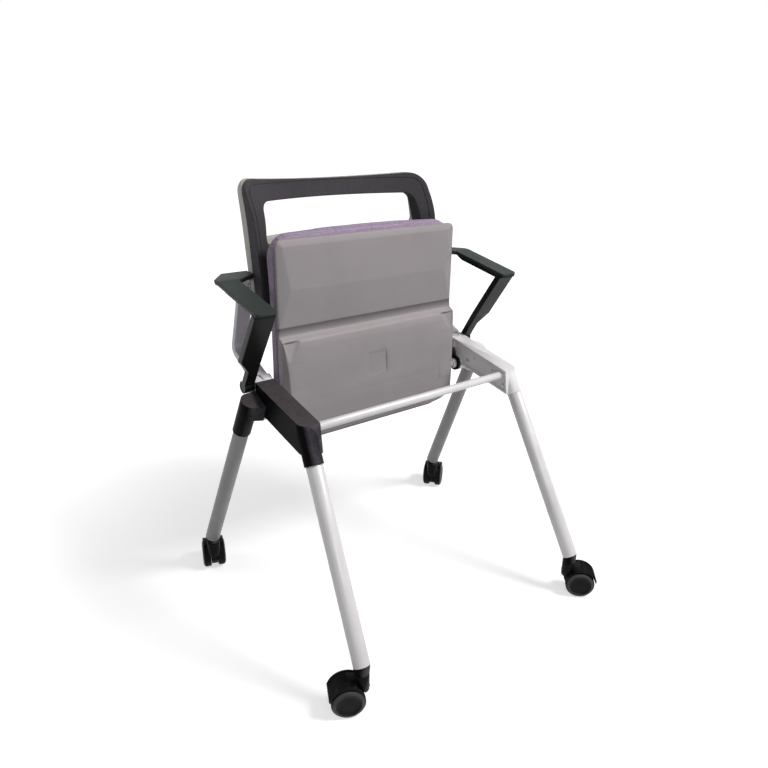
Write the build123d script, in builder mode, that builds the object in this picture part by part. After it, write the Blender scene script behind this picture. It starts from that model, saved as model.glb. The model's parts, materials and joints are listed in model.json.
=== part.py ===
"""Nesting chair with a flip-up seat, armrests and twin-wheel casters.

Millimetres, +Z up. The origin is on the floor, midway between the four legs. The sitter faces -Y. Left and
right are as seen from the front of the chair, so the right side is +X. The seat stands flipped up, as it is
when the chairs are nested, and it turns down about the pivot tube.
"""

import os
from math import atan, cos, hypot, radians, sin

from build123d import *

# Flip seat, standing upright: its width sets the frame's, and its heights are measured from the pivot
SEAT_HALF_WIDTH = 212.5
SEAT_SIDE_SPACE = 15.5
SEAT_RISE = 312.0
SEAT_DROP = 90.0
SEAT_BASE_REACH = 18.0
SEAT_DOWN_ANGLE = 88.0

# Side beams: cast arms, seen from the side as a strip that climbs towards the back
BEAM_WIDTH = 37.0
BEAM_DEPTH = 48.3
BEAM_TOP_Z = 467.3
BEAM_SLOPE = 0.1837
BEAM_FRONT_Y = -65.0
BEAM_TOE_REACH = 7.0
BEAM_NOSE_RADIUS = 14.0
BEAM_REAR_REACH = 15.0
BEAM_HEEL_REACH = 28.0
BEAM_RECESS_DEPTH = 2.5
BEAM_RIM = 5.0
NECK_RADIUS = 15.4
ACCESSORY_HOLE_RADIUS = 2.5
ACCESSORY_HOLE_SPACING = 58.0
ACCESSORY_HOLE_Y = 4.5
ACCESSORY_HOLE_DROP = 17.5

# Pivot of the seat: depth, and drop below the beams' top line
PIVOT_Y = 88.0
PIVOT_DROP = 35.3
PIVOT_LOBE = 17.0

# Web between a beam and its rear leg, with a flat top square to the leg
EAR_RISE = 24.0
EAR_HEIGHT = 30.0
EAR_RADIUS = 17.5
EAR_LEAD = 4.0
EAR_ROOT_REAR = 17.0
EAR_ROOT_FRONT = 26.0

# Legs: round tubes from the casters up to the side beams
WHEELBASE = 504.0
LEG_RADIUS = 15.0
LEG_WALL = 1.5
FRONT_KNEE_INSET = 21.0
FRONT_KNEE_SETBACK = 8.5
FRONT_KNEE_DROP = 31.3
FRONT_SPLAY = 20.0
REAR_HEAD_OFFSET = 23.5
REAR_HEAD_REACH = 4.0
REAR_HEAD_DROP = 26.3
REAR_SPLAY = 27.5
FRONT_NECK = 35.0
REAR_NECK = 42.0
FRONT_NECK_LENGTH = 60.0
SPIGOT_LENGTH = 40.0
SPIGOT_CLEARANCE = 0.2

# Black moulded covers on the left beam and its rear leg joint
COVER_WALL = 2.0
COVER_GAP = 0.2
COVER_SLEEVE = 54.0
REAR_COVER_SLEEVE = 56.0

# Cross tubes
TUBE_RADIUS = 8.0
TUBE_WALL = 1.5
TUBE_SEAT_DEPTH = 20.0
TUBE_FIT = 0.1
FRONT_TUBE_SETBACK = 14.8
FRONT_TUBE_DROP = 24.5
COLLAR_RADIUS = 11.0
COLLAR_GAP = 0.5
CHEEK_THICKNESS = 6.5
CHEEK_REACH = 16.0
CHEEK_RISE = 30.0
CHEEK_TIP_RADIUS = 9.0

# Seat shell, as distances in front of the seat's base plane
SHELL_WALL = 2.6
SHELL_FACE = 6.5
SHELL_RIDGE = 10.5
SHELL_RIDGE_RISE = 218.0
SHELL_TOP_BEVEL = 13.0
SHELL_SIDE_BEVEL = 20.0
SHELL_EDGE = 2.5
SHELL_LIP = 18.0
SHELL_HEM = 9.0
SHELL_HEM_RISE = 3.0
# Lower panel below the lip: distance in front of the base, and share of the way up from the bottom edge
SHELL_BELLY = [(24.5, 0.816), (28.5, 0.604), (29.5, 0.415), (27.0, 0.203), (19.5, 0.071)]
SHELL_TOP_CORNER = 14.0
SHELL_BOTTOM_CORNER = 58.0
GROOVE_HALF_HEIGHT = 8.0
GROOVE_CLEARANCE = 0.6
GROOVE_LIP_DROP = 16.5
# Scoops at both ends of the groove: half width, depth, height below the lip and height above the groove
SCOOP_HALF_WIDTH = 19.0
SCOOP_DEPTH = 6.0
SCOOP_DROP = 36.0
SCOOP_BACKING = 3.0
HINGE_BLOCK_INSET = 27.5
HINGE_BLOCK_WIDTH = 30.0
HINGE_BLOCK_HEIGHT = 46.0
HINGE_BLOCK_DEPTH = 27.5
PIVOT_RUNNING_FIT = 0.06
SHELL_TUBE_CLEARANCE = 1.2
MARK_SIZE = 46.0
MARK_DEPTH = 0.8
MARK_RISE = 48.0

# Board and cushion on the shell
BOARD_THICKNESS = 8.0
BOARD_INSET = 9.0
CUSHION_OVERHANG = 7.5
CUSHION_CORNER = 34.0
CUSHION_TOP_OVERHANG = 13.0
CUSHION_DRAW_IN = 2.5
# Depth from the shell, and how far the edge is drawn in there
CUSHION_SECTIONS = [
    (0.0, 6.0), (4.0, 2.6), (9.0, 0.6), (14.0, 0.0), (20.0, 0.2), (26.0, 1.6),
    (31.0, 4.5), (35.0, 9.0), (38.0, 15.5), (40.0, 25.0), (41.2, 40.0), (42.0, 62.0),
]
CUSHION_GAP = 0.3

# Armrests
ARM_WIDTH = 40.0
ARM_FRONT_Y = -2.0
ARM_RISE = 177.7
ARM_SLOPE = 0.18
ARM_LEVEL_RUN = 57.0
ARM_BACK_GAP = 4.0
ARM_PLATE = 3.4
ARM_PAD_THICKNESS = 4.6
ARM_RIB_WIDTH = 20.0
ARM_RIB_DEPTH = 10.0
ARM_CORNER = 44.0
ARM_FRONT_CORNER = 8.0
ARM_PLATE_INSET = 1.0
ARM_RIB_RUN = 12.0
ARM_ROOT_LENGTH = 32.0
ARM_ROOT_STEP = 5.0
STRUT_THICKNESS = 12.5
STRUT_TOP_SETBACK = 14.0
STRUT_KNEE_REACH = 37.0
STRUT_KNEE_RISE = 62.0
STRUT_BEND_RADIUS = 120.0
STRUT_FOOT_WIDTH = 20.0
STRUT_FOOT_RADIUS = 12.0
STRUT_STEP_TOP = 64.0
STRUT_STEP_BOTTOM = 39.0

# Uprights: flat bars that carry the back on the side beams
KNUCKLE_REACH = 28.0
KNUCKLE_RISE = 8.7
KNUCKLE_RADIUS = 16.0
KNUCKLE_GAP = 0.3
UPRIGHT_REACH = 79.0
UPRIGHT_THICKNESS = 12.0
UPRIGHT_BEND_RISE = 46.0
UPRIGHT_BEND_RADIUS = 22.0
UPRIGHT_FOOT_RISE = 7.5
UPRIGHT_WAIST_DROP = 54.4
# Inner and outer edges at the foot, the bend, the waist and the top, from the beam's inner face
UPRIGHT_EDGES = [(0.0, 37.0), (5.0, 34.0), (-9.0, 19.0), (-11.0, 13.0)]
# Screws in the back's sides, below the uprights' tops
BACK_SCREW_DROPS = [46.4, 18.4]
BACK_SCREW_LEAD = 0.5
BACK_SCREW_BITE = 8.0
FLANGE_MARGIN = 11.0
FLANGE_LEAD = 8.0
FLANGE_THICKNESS = 5.0

# Back: a ring with a grab opening, mesh in its lower part, and a rear shell. It curves about an upright axis
BACK_SIDE_INSET = 12.0
BACK_DROP = 112.4
BACK_HEIGHT = 288.0
BACK_AXIS_REACH = 410.0
BACK_SWEEP = 40.0
BACK_TOP_DIP = 9.0
BACK_TOP_CORNER = 26.0
BACK_BOTTOM_CORNER = 40.0
BACK_JOINT_GAP = 0.3
# Share of the back's height, then the front of the ring, its back and the back of the rear shell at the
# side edges, behind the uprights' front
BACK_STATIONS = [
    (-0.024, -34.0, -24.0, -8.0),
    (0.167, -40.5, -19.0, 1.0),
    (0.375, -40.0, -9.0, 11.0),
    (0.583, -33.0, -1.0, 21.0),
    (0.740, -24.0, 6.5, 28.5),
    (0.878, -3.0, 17.0, 37.0),
    (1.028, 27.0, 35.0, 47.0),
]
TOP_RAIL = 42.0
GRAB_HEIGHT = 82.0
GRAB_SIDE_TOP = 35.0
GRAB_SIDE_BOTTOM = 26.0
GRAB_CORNER = 18.0
GRAB_SHELL_MARGIN = 12.0
MIDDLE_RAIL = 26.0
LOWER_RAIL = 32.0
MESH_SIDE = 32.0
MESH_CORNER = 24.0
MESH_SET_BACK = 3.0
MESH_THICKNESS = 2.0
MESH_EDGE_GAP = 0.3

# Casters
WHEEL_RADIUS = 30.0
WHEEL_WIDTH = 17.0
WHEEL_GAP = 15.0
WHEEL_FACE_RADIUS = 21.0
WHEEL_DISH = 1.2
WHEEL_TREAD_CROWN = 1.2
WHEEL_SHOULDER = 2.5
TRAIL = 25.0
CORE_WIDTH = 13.0
CORE_RADIUS = 25.0
HOOD_GAP = 1.6
HOOD_WALL = 2.4
HOOD_WIDTH = 44.0
# Where the hood runs over the wheels, in degrees above the trailing side
HOOD_SECTOR = [14.0, 65.0, 118.0]
HOOD_NECK_STEP = 8.0
HOOD_NECK_INSET = 2.0
HOOD_SHOULDER_DROP = 6.0
NECK_TOP_GAP = 1.0
CASTER_HEIGHT = 76.0
SWIVEL_RADIUS = 13.5
SWIVEL_BASE_Z = 42.0
STEM_RADIUS = 4.0
STEM_BOTTOM_Z = 50.0
STEM_INSERTION = 13.0
STEM_RUNNING_FIT = 0.06
AXLE_RADIUS = 3.0
AXLE_RUNNING_FIT = 0.05
AXLE_HOLE_FIT = 0.05
AXLE_ENGAGEMENT = 13.0
AXLE_END_PLAY = 0.5
PLUG_DROP = 12.5
PLUG_LENGTH = 24.0
PLUG_FIT = 0.15
# Way each caster trails at rest, in degrees about +Z from +X
CASTER_ANGLES = {"front_left": 154.0, "front_right": -43.0, "rear_left": 71.0, "rear_right": 42.0}

# Screws
SCREW_RADIUS = 2.5
SCREW_HEAD_RADIUS = 4.5
SCREW_HEAD_HEIGHT = 2.5
SCREW_FIT = 0.1
SEAT_SCREW_DEPTH = 4.5
SEAT_SCREW_INSET = 62.5
SEAT_SCREW_DROPS = [29.0, 124.0]
SEAT_HINGE_SCREW_RISE = 17.0
BEAM_SCREW_LENGTH = 10.0
BEAM_SCREW_LEAD = 37.0
BEAM_SCREW_SETBACK = 7.0
BEAM_SCREW_DROPS = [28.7, 35.6]
BOLT_RADIUS = 4.0
BOLT_HEAD_RADIUS = 7.0
BOLT_HEAD_HEIGHT = 3.5
BOLT_HEAD_GAP = 0.3

BEAM_INNER_X = SEAT_HALF_WIDTH + SEAT_SIDE_SPACE
BEAM_OUTER_X = BEAM_INNER_X + BEAM_WIDTH
BEAM_MIDDLE_X = BEAM_INNER_X + BEAM_WIDTH / 2
BEAM_TOE_Y = BEAM_FRONT_Y - BEAM_TOE_REACH
BEAM_REAR_Y = PIVOT_Y + BEAM_REAR_REACH
BEAM_HEEL_Y = PIVOT_Y - BEAM_HEEL_REACH
PIVOT_Z = BEAM_TOP_Z - PIVOT_DROP
FRONT_TUBE_Y = BEAM_FRONT_Y + FRONT_TUBE_SETBACK
FRONT_TUBE_Z = BEAM_TOP_Z - FRONT_TUBE_DROP
FOOT_HEIGHT = CASTER_HEIGHT + PLUG_DROP
FRONT_KNEE = Vector(
    BEAM_INNER_X + FRONT_KNEE_INSET, BEAM_FRONT_Y + FRONT_KNEE_SETBACK, BEAM_TOP_Z - FRONT_KNEE_DROP
)
REAR_HEAD = Vector(BEAM_OUTER_X + REAR_HEAD_OFFSET, PIVOT_Y + REAR_HEAD_REACH, BEAM_TOP_Z - REAR_HEAD_DROP)
FRONT_FOOT = Vector(FRONT_KNEE.X + FRONT_SPLAY, -WHEELBASE / 2, FOOT_HEIGHT)
REAR_FOOT = Vector(REAR_HEAD.X + REAR_SPLAY, WHEELBASE / 2, FOOT_HEIGHT)
LEG_INNER_RADIUS = LEG_RADIUS - LEG_WALL
TUBE_HOLE_RADIUS = TUBE_RADIUS + TUBE_FIT
SEAT_TOP_Z = PIVOT_Z + SEAT_RISE
SEAT_BOTTOM_Z = PIVOT_Z - SEAT_DROP
SEAT_BASE_Y = PIVOT_Y + SEAT_BASE_REACH
HINGE_BLOCK_X = SEAT_HALF_WIDTH - HINGE_BLOCK_INSET
KNUCKLE_Y = PIVOT_Y + KNUCKLE_REACH
KNUCKLE_Z = BEAM_TOP_Z + KNUCKLE_RISE
UPRIGHT_FRONT_Y = KNUCKLE_Y + UPRIGHT_REACH
UPRIGHT_REAR_Y = UPRIGHT_FRONT_Y + UPRIGHT_THICKNESS
UPRIGHT_MIDDLE_Y = UPRIGHT_FRONT_Y + UPRIGHT_THICKNESS / 2
ARM_FRONT_Z = BEAM_TOP_Z + ARM_RISE
ARM_REAR_Y = UPRIGHT_REAR_Y
ARM_LEVEL_Y = ARM_REAR_Y - ARM_LEVEL_RUN
ARM_INNER_X = BEAM_OUTER_X
ARM_OUTER_X = ARM_INNER_X + ARM_WIDTH
ARM_STACK = ARM_PLATE + ARM_PAD_THICKNESS
STRUT_TOP_Y = ARM_FRONT_Y + STRUT_TOP_SETBACK
BACK_HALF_WIDTH = BEAM_INNER_X - BACK_SIDE_INSET
BACK_AXIS_Y = UPRIGHT_FRONT_Y - BACK_AXIS_REACH
ARM_REAR_X = BACK_HALF_WIDTH + ARM_BACK_GAP
# Screws through the board: across the seat and height
SEAT_SCREWS = [
    (side * (SEAT_HALF_WIDTH - SEAT_SCREW_INSET), SEAT_TOP_Z - drop)
    for drop in SEAT_SCREW_DROPS
    for side in (-1, 1)
] + [(side * HINGE_BLOCK_X, PIVOT_Z + SEAT_HINGE_SCREW_RISE) for side in (-1, 1)]


def save(part, name):
    """Writes one sub-part under its node name."""
    part.label = name
    export_step(part, f"parts/{name}.step")


def mirrored(right_part):
    """The left-hand twin of a right-hand piece."""
    with BuildPart() as twin:
        mirror(right_part, about=Plane.YZ)
    return twin.part


def side_plane(x):
    """A plane seen from the right: sketch X is world Y, and sketch Y is world Z."""
    return Plane.YZ.offset(x)


def front_plane(y):
    """A plane seen from the front: sketch X is world X, and sketch Y is world Z."""
    return Plane.XZ.offset(-y)


def along(start, end, distance):
    """The plane square to a line, at a distance from its start, with sketch X towards +X."""
    way = (end - start).normalized()
    return Plane(origin=start + way * distance, x_dir=(1, 0, 0), z_dir=way)


def beam_top(y):
    return BEAM_TOP_Z + BEAM_SLOPE * y


def beam_bottom(y):
    return beam_top(y) - BEAM_DEPTH


def arm_top(y):
    return ARM_FRONT_Z + ARM_SLOPE * (min(y, ARM_LEVEL_Y) - ARM_FRONT_Y)


def seat_point(y, z):
    """Where a point of the frame lies in the upright seat once the seat is down."""
    turn = radians(-SEAT_DOWN_ANGLE)
    dy, dz = y - PIVOT_Y, z - PIVOT_Z
    return PIVOT_Y + dy * cos(turn) - dz * sin(turn), PIVOT_Z + dy * sin(turn) + dz * cos(turn)


# ---------------------------------------------------------------- side beams

BEAM_OUTLINE = [
    (BEAM_FRONT_Y, beam_top(BEAM_FRONT_Y)),
    (BEAM_REAR_Y, beam_top(BEAM_REAR_Y)),
    (BEAM_REAR_Y, PIVOT_Z),
    (BEAM_HEEL_Y, beam_bottom(BEAM_HEEL_Y)),
    (BEAM_TOE_Y, beam_bottom(BEAM_TOE_Y)),
]
# Screws in the beams' inner panels: depth and height
BEAM_SCREWS = [
    (y, beam_top(y) - drop)
    for y, drop in zip((PIVOT_Y - BEAM_SCREW_LEAD, BEAM_FRONT_Y + BEAM_SCREW_SETBACK), BEAM_SCREW_DROPS)
]
TOP_PLANE = Plane(
    origin=(0, 0, BEAM_TOP_Z), x_dir=(1, 0, 0), z_dir=(0, -BEAM_SLOPE, 1)
)
front_seam = along(FRONT_KNEE, FRONT_FOOT, FRONT_NECK)
rear_seam = along(REAR_HEAD, REAR_FOOT, REAR_NECK)
ACCESSORY_HOLES = [
    (ACCESSORY_HOLE_Y + side * ACCESSORY_HOLE_SPACING / 2 * cos(atan(BEAM_SLOPE)))
    for side in (-1, 1)
]


def beam_block(margin, start):
    """The beam's plain block, grown by a margin, from a plane on its inner side. Its nose is rounded."""
    with BuildPart() as block:
        with BuildSketch(side_plane(start)):
            with BuildLine():
                Polyline(*BEAM_OUTLINE, close=True)
            make_face()
            if margin:
                offset(amount=margin, kind=Kind.INTERSECTION)
        extrude(amount=BEAM_OUTER_X + margin - start)
        nose = block.faces().sort_by(Axis.Y)[0]
        fillet(nose.edges().filter_by(Plane.YZ).sort_by(Axis.X)[-1], BEAM_NOSE_RADIUS + margin)
    return block.part


def ear(margin):
    """Web between a beam and its rear leg, grown by a margin: a wide root, and a round end on the leg."""
    section = along(REAR_HEAD, REAR_FOOT, -EAR_RISE - margin)
    root = BEAM_OUTER_X - 1 - section.origin.X
    radius = EAR_RADIUS + margin
    with BuildPart() as web:
        with BuildSketch(section):
            with BuildLine():
                Polyline(
                    (root, -EAR_ROOT_REAR - margin),
                    (0, EAR_LEAD - radius),
                    (0, EAR_LEAD + radius),
                    (root, EAR_ROOT_FRONT + margin),
                    close=True,
                )
            make_face()
            with Locations((0, EAR_LEAD)):
                Circle(radius)
        extrude(amount=EAR_HEIGHT + 2 * margin)
    return web.part


with BuildPart() as side_beam_right:
    add(beam_block(0, BEAM_INNER_X))
    with BuildSketch(side_plane(BEAM_INNER_X)):
        with Locations((PIVOT_Y, PIVOT_Z)):
            Circle(PIVOT_LOBE)
    extrude(amount=BEAM_WIDTH)
    with BuildSketch(side_plane(BEAM_MIDDLE_X)):
        with Locations((KNUCKLE_Y, KNUCKLE_Z)):
            Circle(KNUCKLE_RADIUS)
    extrude(amount=BEAM_WIDTH / 2)
    with BuildSketch(front_seam):
        Circle(NECK_RADIUS)
    extrude(amount=-(FRONT_NECK + FRONT_NECK_LENGTH / 2))
    split(bisect_by=TOP_PLANE, keep=Keep.BOTTOM)
    add(ear(0))
    with BuildSketch(rear_seam):
        Circle(NECK_RADIUS)
    extrude(amount=-(REAR_NECK + EAR_RISE))
    # Recessed inner panel, with a rim round it
    with BuildSketch(side_plane(BEAM_INNER_X)):
        with BuildLine():
            Polyline(*BEAM_OUTLINE, close=True)
        make_face()
        offset(amount=-BEAM_RIM, kind=Kind.INTERSECTION)
        with Locations((PIVOT_Y, PIVOT_Z)):
            Circle(PIVOT_LOBE, mode=Mode.SUBTRACT)
        with Locations((FRONT_TUBE_Y, FRONT_TUBE_Z)):
            Circle(TUBE_RADIUS + BEAM_RIM / 2, mode=Mode.SUBTRACT)
    extrude(amount=BEAM_RECESS_DEPTH, mode=Mode.SUBTRACT)
    # The upright's foot laps the inner half of the beam's rear end
    with BuildSketch(side_plane(BEAM_INNER_X)):
        with Locations((KNUCKLE_Y, KNUCKLE_Z)):
            Circle(KNUCKLE_RADIUS + KNUCKLE_GAP)
    extrude(amount=BEAM_WIDTH / 2, mode=Mode.SUBTRACT)
    # Blind seats for the cross tubes, holes for the arm bolt and for accessories
    with BuildSketch(side_plane(BEAM_INNER_X)):
        with Locations((PIVOT_Y, PIVOT_Z), (FRONT_TUBE_Y, FRONT_TUBE_Z)):
            Circle(TUBE_HOLE_RADIUS)
    extrude(amount=TUBE_SEAT_DEPTH, mode=Mode.SUBTRACT)
    with BuildSketch(side_plane(BEAM_INNER_X)):
        with Locations((KNUCKLE_Y, KNUCKLE_Z)):
            Circle(BOLT_RADIUS + SCREW_FIT)
    extrude(amount=BEAM_WIDTH, mode=Mode.SUBTRACT)
    with BuildSketch(side_plane(BEAM_INNER_X)):
        with Locations(*[(y, beam_top(y) - ACCESSORY_HOLE_DROP) for y in ACCESSORY_HOLES]):
            Circle(ACCESSORY_HOLE_RADIUS)
        with Locations(*BEAM_SCREWS):
            Circle(SCREW_RADIUS + SCREW_FIT)
    extrude(amount=BEAM_RECESS_DEPTH + BEAM_SCREW_LENGTH, mode=Mode.SUBTRACT)
    # Spigots that the legs push on to
    with BuildSketch(front_seam):
        Circle(LEG_INNER_RADIUS - SPIGOT_CLEARANCE)
    extrude(amount=SPIGOT_LENGTH)
    with BuildSketch(rear_seam):
        Circle(LEG_INNER_RADIUS - SPIGOT_CLEARANCE)
    extrude(amount=SPIGOT_LENGTH)

with BuildPart() as side_beam_left:
    mirror(side_beam_right.part, about=Plane.YZ)


os.makedirs("parts", exist_ok=True)
save(side_beam_right.part, "side_beam_right")
save(side_beam_left.part, "side_beam_left")

# ---------------------------------------------------------------- covers on the left beam

with BuildPart() as neck_room:
    with BuildSketch(along(FRONT_KNEE, FRONT_FOOT, COVER_SLEEVE)):
        Circle(NECK_RADIUS + COVER_GAP)
    extrude(amount=-(COVER_SLEEVE + FRONT_NECK_LENGTH))
    split(bisect_by=TOP_PLANE.offset(COVER_GAP), keep=Keep.BOTTOM)

with BuildPart() as beam_cover_master:
    add(beam_block(COVER_GAP + COVER_WALL, BEAM_INNER_X))
    with BuildSketch(along(FRONT_KNEE, FRONT_FOOT, COVER_SLEEVE)):
        Circle(NECK_RADIUS + COVER_GAP + COVER_WALL)
    extrude(amount=-(COVER_SLEEVE + FRONT_NECK_LENGTH / 2))
    split(bisect_by=TOP_PLANE.offset(COVER_GAP + COVER_WALL), keep=Keep.BOTTOM)
    add(beam_block(COVER_GAP, BEAM_INNER_X - COVER_WALL), mode=Mode.SUBTRACT)
    with BuildSketch(side_plane(BEAM_INNER_X - COVER_WALL)):
        with Locations((PIVOT_Y, PIVOT_Z)):
            Circle(PIVOT_LOBE + COVER_GAP)
    extrude(amount=BEAM_WIDTH + COVER_GAP + COVER_WALL, mode=Mode.SUBTRACT)
    add(neck_room.part, mode=Mode.SUBTRACT)
    add(ear(COVER_GAP), mode=Mode.SUBTRACT)
    with BuildSketch(side_plane(BEAM_INNER_X - COVER_WALL)):
        with Locations((BEAM_REAR_Y + BEAM_WIDTH / 2 - BEAM_RIM, PIVOT_Z)):
            Rectangle(BEAM_WIDTH, 4 * BEAM_DEPTH)
    extrude(amount=BEAM_WIDTH + 3 * COVER_WALL, mode=Mode.SUBTRACT)
save(mirrored(beam_cover_master.part), "beam_cover_left")

# The sleeve caps the web and runs down over the top of the leg
with BuildPart() as rear_sleeve_master:
    add(ear(COVER_GAP + COVER_WALL))
    with BuildSketch(along(REAR_HEAD, REAR_FOOT, REAR_COVER_SLEEVE)):
        Circle(NECK_RADIUS + COVER_GAP + COVER_WALL)
    extrude(amount=-(REAR_COVER_SLEEVE + EAR_RISE))
    add(ear(COVER_GAP), mode=Mode.SUBTRACT)
    with BuildSketch(along(REAR_HEAD, REAR_FOOT, REAR_COVER_SLEEVE)):
        Circle(NECK_RADIUS + COVER_GAP)
    extrude(amount=-(REAR_COVER_SLEEVE + EAR_RISE), mode=Mode.SUBTRACT)
    split(bisect_by=side_plane(BEAM_OUTER_X + 2 * COVER_GAP + COVER_WALL), keep=Keep.TOP)
save(mirrored(rear_sleeve_master.part), "rear_sleeve_left")

# ---------------------------------------------------------------- legs, plugs and caster stems


def leg(seam, length):
    """A leg tube that starts at the beam's neck and is cut square at both ends."""
    with BuildPart() as tube:
        with BuildSketch(seam):
            Circle(LEG_RADIUS)
            Circle(LEG_INNER_RADIUS, mode=Mode.SUBTRACT)
        extrude(amount=length)
    return tube.part


def leg_plug(head, foot):
    """A moulded plug in the leg's end, with a collar that turns down to the caster's stem."""
    end = along(head, foot, (foot - head).length)
    with BuildPart() as plug:
        with BuildSketch(end):
            Circle(LEG_RADIUS)
        with BuildSketch(Plane((foot.X, foot.Y, CASTER_HEIGHT), x_dir=end.x_dir, z_dir=(0, 0, -1))):
            Circle(SWIVEL_RADIUS)
        loft()
        with BuildSketch(end):
            Circle(LEG_INNER_RADIUS - PLUG_FIT)
        extrude(amount=-PLUG_LENGTH)
        with BuildSketch(Plane.XY.offset(CASTER_HEIGHT)):
            with Locations((foot.X, foot.Y)):
                Circle(STEM_RADIUS + SCREW_FIT)
        extrude(amount=STEM_INSERTION, mode=Mode.SUBTRACT)
    return plug.part


front_leg_right = leg(front_seam, (FRONT_FOOT - FRONT_KNEE).length - FRONT_NECK)
rear_leg_right = leg(rear_seam, (REAR_FOOT - REAR_HEAD).length - REAR_NECK)
save(front_leg_right, "front_leg_right")
save(mirrored(front_leg_right), "front_leg_left")
save(rear_leg_right, "rear_leg_right")
save(mirrored(rear_leg_right), "rear_leg_left")

with BuildPart() as leg_plugs:
    add(leg_plug(FRONT_KNEE, FRONT_FOOT))
    add(leg_plug(REAR_HEAD, REAR_FOOT))
    mirror(about=Plane.YZ)
save(leg_plugs.part, "leg_plugs")

FEET = {
    "front_left": (-FRONT_FOOT.X, FRONT_FOOT.Y),
    "front_right": (FRONT_FOOT.X, FRONT_FOOT.Y),
    "rear_left": (-REAR_FOOT.X, REAR_FOOT.Y),
    "rear_right": (REAR_FOOT.X, REAR_FOOT.Y),
}
with BuildPart() as caster_stems:
    with BuildSketch(Plane.XY.offset(STEM_BOTTOM_Z)):
        with Locations(*FEET.values()):
            Circle(STEM_RADIUS)
    extrude(amount=CASTER_HEIGHT + STEM_INSERTION - STEM_BOTTOM_Z)
save(caster_stems.part, "caster_stems")

# ---------------------------------------------------------------- cross tubes, collars and hinge cheeks


def cross_tube(y, z):
    """A tube between the two beams, seated in a blind hole in each."""
    half = BEAM_INNER_X + TUBE_SEAT_DEPTH - TUBE_FIT
    with BuildPart() as tube:
        with BuildSketch(side_plane(-half)):
            with Locations((y, z)):
                Circle(TUBE_RADIUS)
                Circle(TUBE_RADIUS - TUBE_WALL, mode=Mode.SUBTRACT)
        extrude(amount=2 * half)
    return tube.part


save(cross_tube(FRONT_TUBE_Y, FRONT_TUBE_Z), "front_cross_tube")
save(cross_tube(PIVOT_Y, PIVOT_Z), "pivot_tube")

with BuildPart() as pivot_collars:
    with BuildSketch(side_plane(SEAT_HALF_WIDTH + COLLAR_GAP)):
        with Locations((PIVOT_Y, PIVOT_Z)):
            Circle(COLLAR_RADIUS)
            Circle(TUBE_HOLE_RADIUS, mode=Mode.SUBTRACT)
    extrude(amount=BEAM_INNER_X - CHEEK_THICKNESS - SEAT_HALF_WIDTH - COLLAR_GAP)
    mirror(about=Plane.YZ)
save(pivot_collars.part, "pivot_collars")

with BuildPart() as hinge_cheek_right:
    with BuildSketch(side_plane(BEAM_INNER_X - CHEEK_THICKNESS)):
        with BuildLine():
            Polyline((PIVOT_Y, PIVOT_Z), (PIVOT_Y + CHEEK_REACH, PIVOT_Z + CHEEK_RISE))
        trace(line_width=2 * CHEEK_TIP_RADIUS)
        with Locations((PIVOT_Y, PIVOT_Z)):
            Circle(PIVOT_LOBE)
            Circle(TUBE_HOLE_RADIUS, mode=Mode.SUBTRACT)
    extrude(amount=CHEEK_THICKNESS)
save(hinge_cheek_right.part, "hinge_cheek_right")
save(mirrored(hinge_cheek_right.part), "hinge_cheek_left")

# ---------------------------------------------------------------- flip seat

groove_y, groove_z = seat_point(FRONT_TUBE_Y, FRONT_TUBE_Z)
groove_bottom_y = groove_y + TUBE_RADIUS + GROOVE_CLEARANCE
lip_z = groove_z - GROOVE_LIP_DROP


def seat_outline(side, top, bottom, grow=0):
    """Front view of the seat: a rectangle with large lower corners, grown by the given overhangs."""
    width = 2 * (SEAT_HALF_WIDTH + side)
    high = SEAT_TOP_Z + top
    low = SEAT_BOTTOM_Z - bottom
    with BuildSketch(front_plane(0)) as outline:
        with Locations((0, (high + low) / 2)):
            Rectangle(width, high - low)
        fillet(outline.vertices().group_by(Axis.Y)[-1], SHELL_TOP_CORNER + grow)
        fillet(outline.vertices().group_by(Axis.Y)[0], SHELL_BOTTOM_CORNER + grow)
    return outline.sketch


BELLY = [
    (SEAT_BASE_Y - depth, SEAT_BOTTOM_Z + share * (lip_z - SEAT_BOTTOM_Z)) for depth, share in SHELL_BELLY
]
LIP = (SEAT_BASE_Y - SHELL_LIP, lip_z)
HEM = (SEAT_BASE_Y - SHELL_HEM, SEAT_BOTTOM_Z + SHELL_HEM_RISE)
HOLLOW_FACE = [(y + SHELL_WALL, z) for y, z in BELLY[:-1]]
HOLLOW_TOP = (LIP[0] + SHELL_WALL, LIP[1] - 2 * SHELL_WALL)
HOLLOW_BOTTOM = (BELLY[-1][0] + SHELL_WALL, BELLY[-1][1] + SHELL_WALL)
SCOOP_X = SEAT_HALF_WIDTH - SCOOP_HALF_WIDTH


def both(right_part):
    """A right-hand piece and its left-hand twin."""
    return right_part, mirrored(right_part)


def share_at(curve, height):
    """How far along a falling curve it reaches a height."""
    low, high = 0.0, 1.0
    for _ in range(40):
        middle = (low + high) / 2
        low, high = (middle, high) if (curve @ middle).Y > height else (low, middle)
    return low


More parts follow.
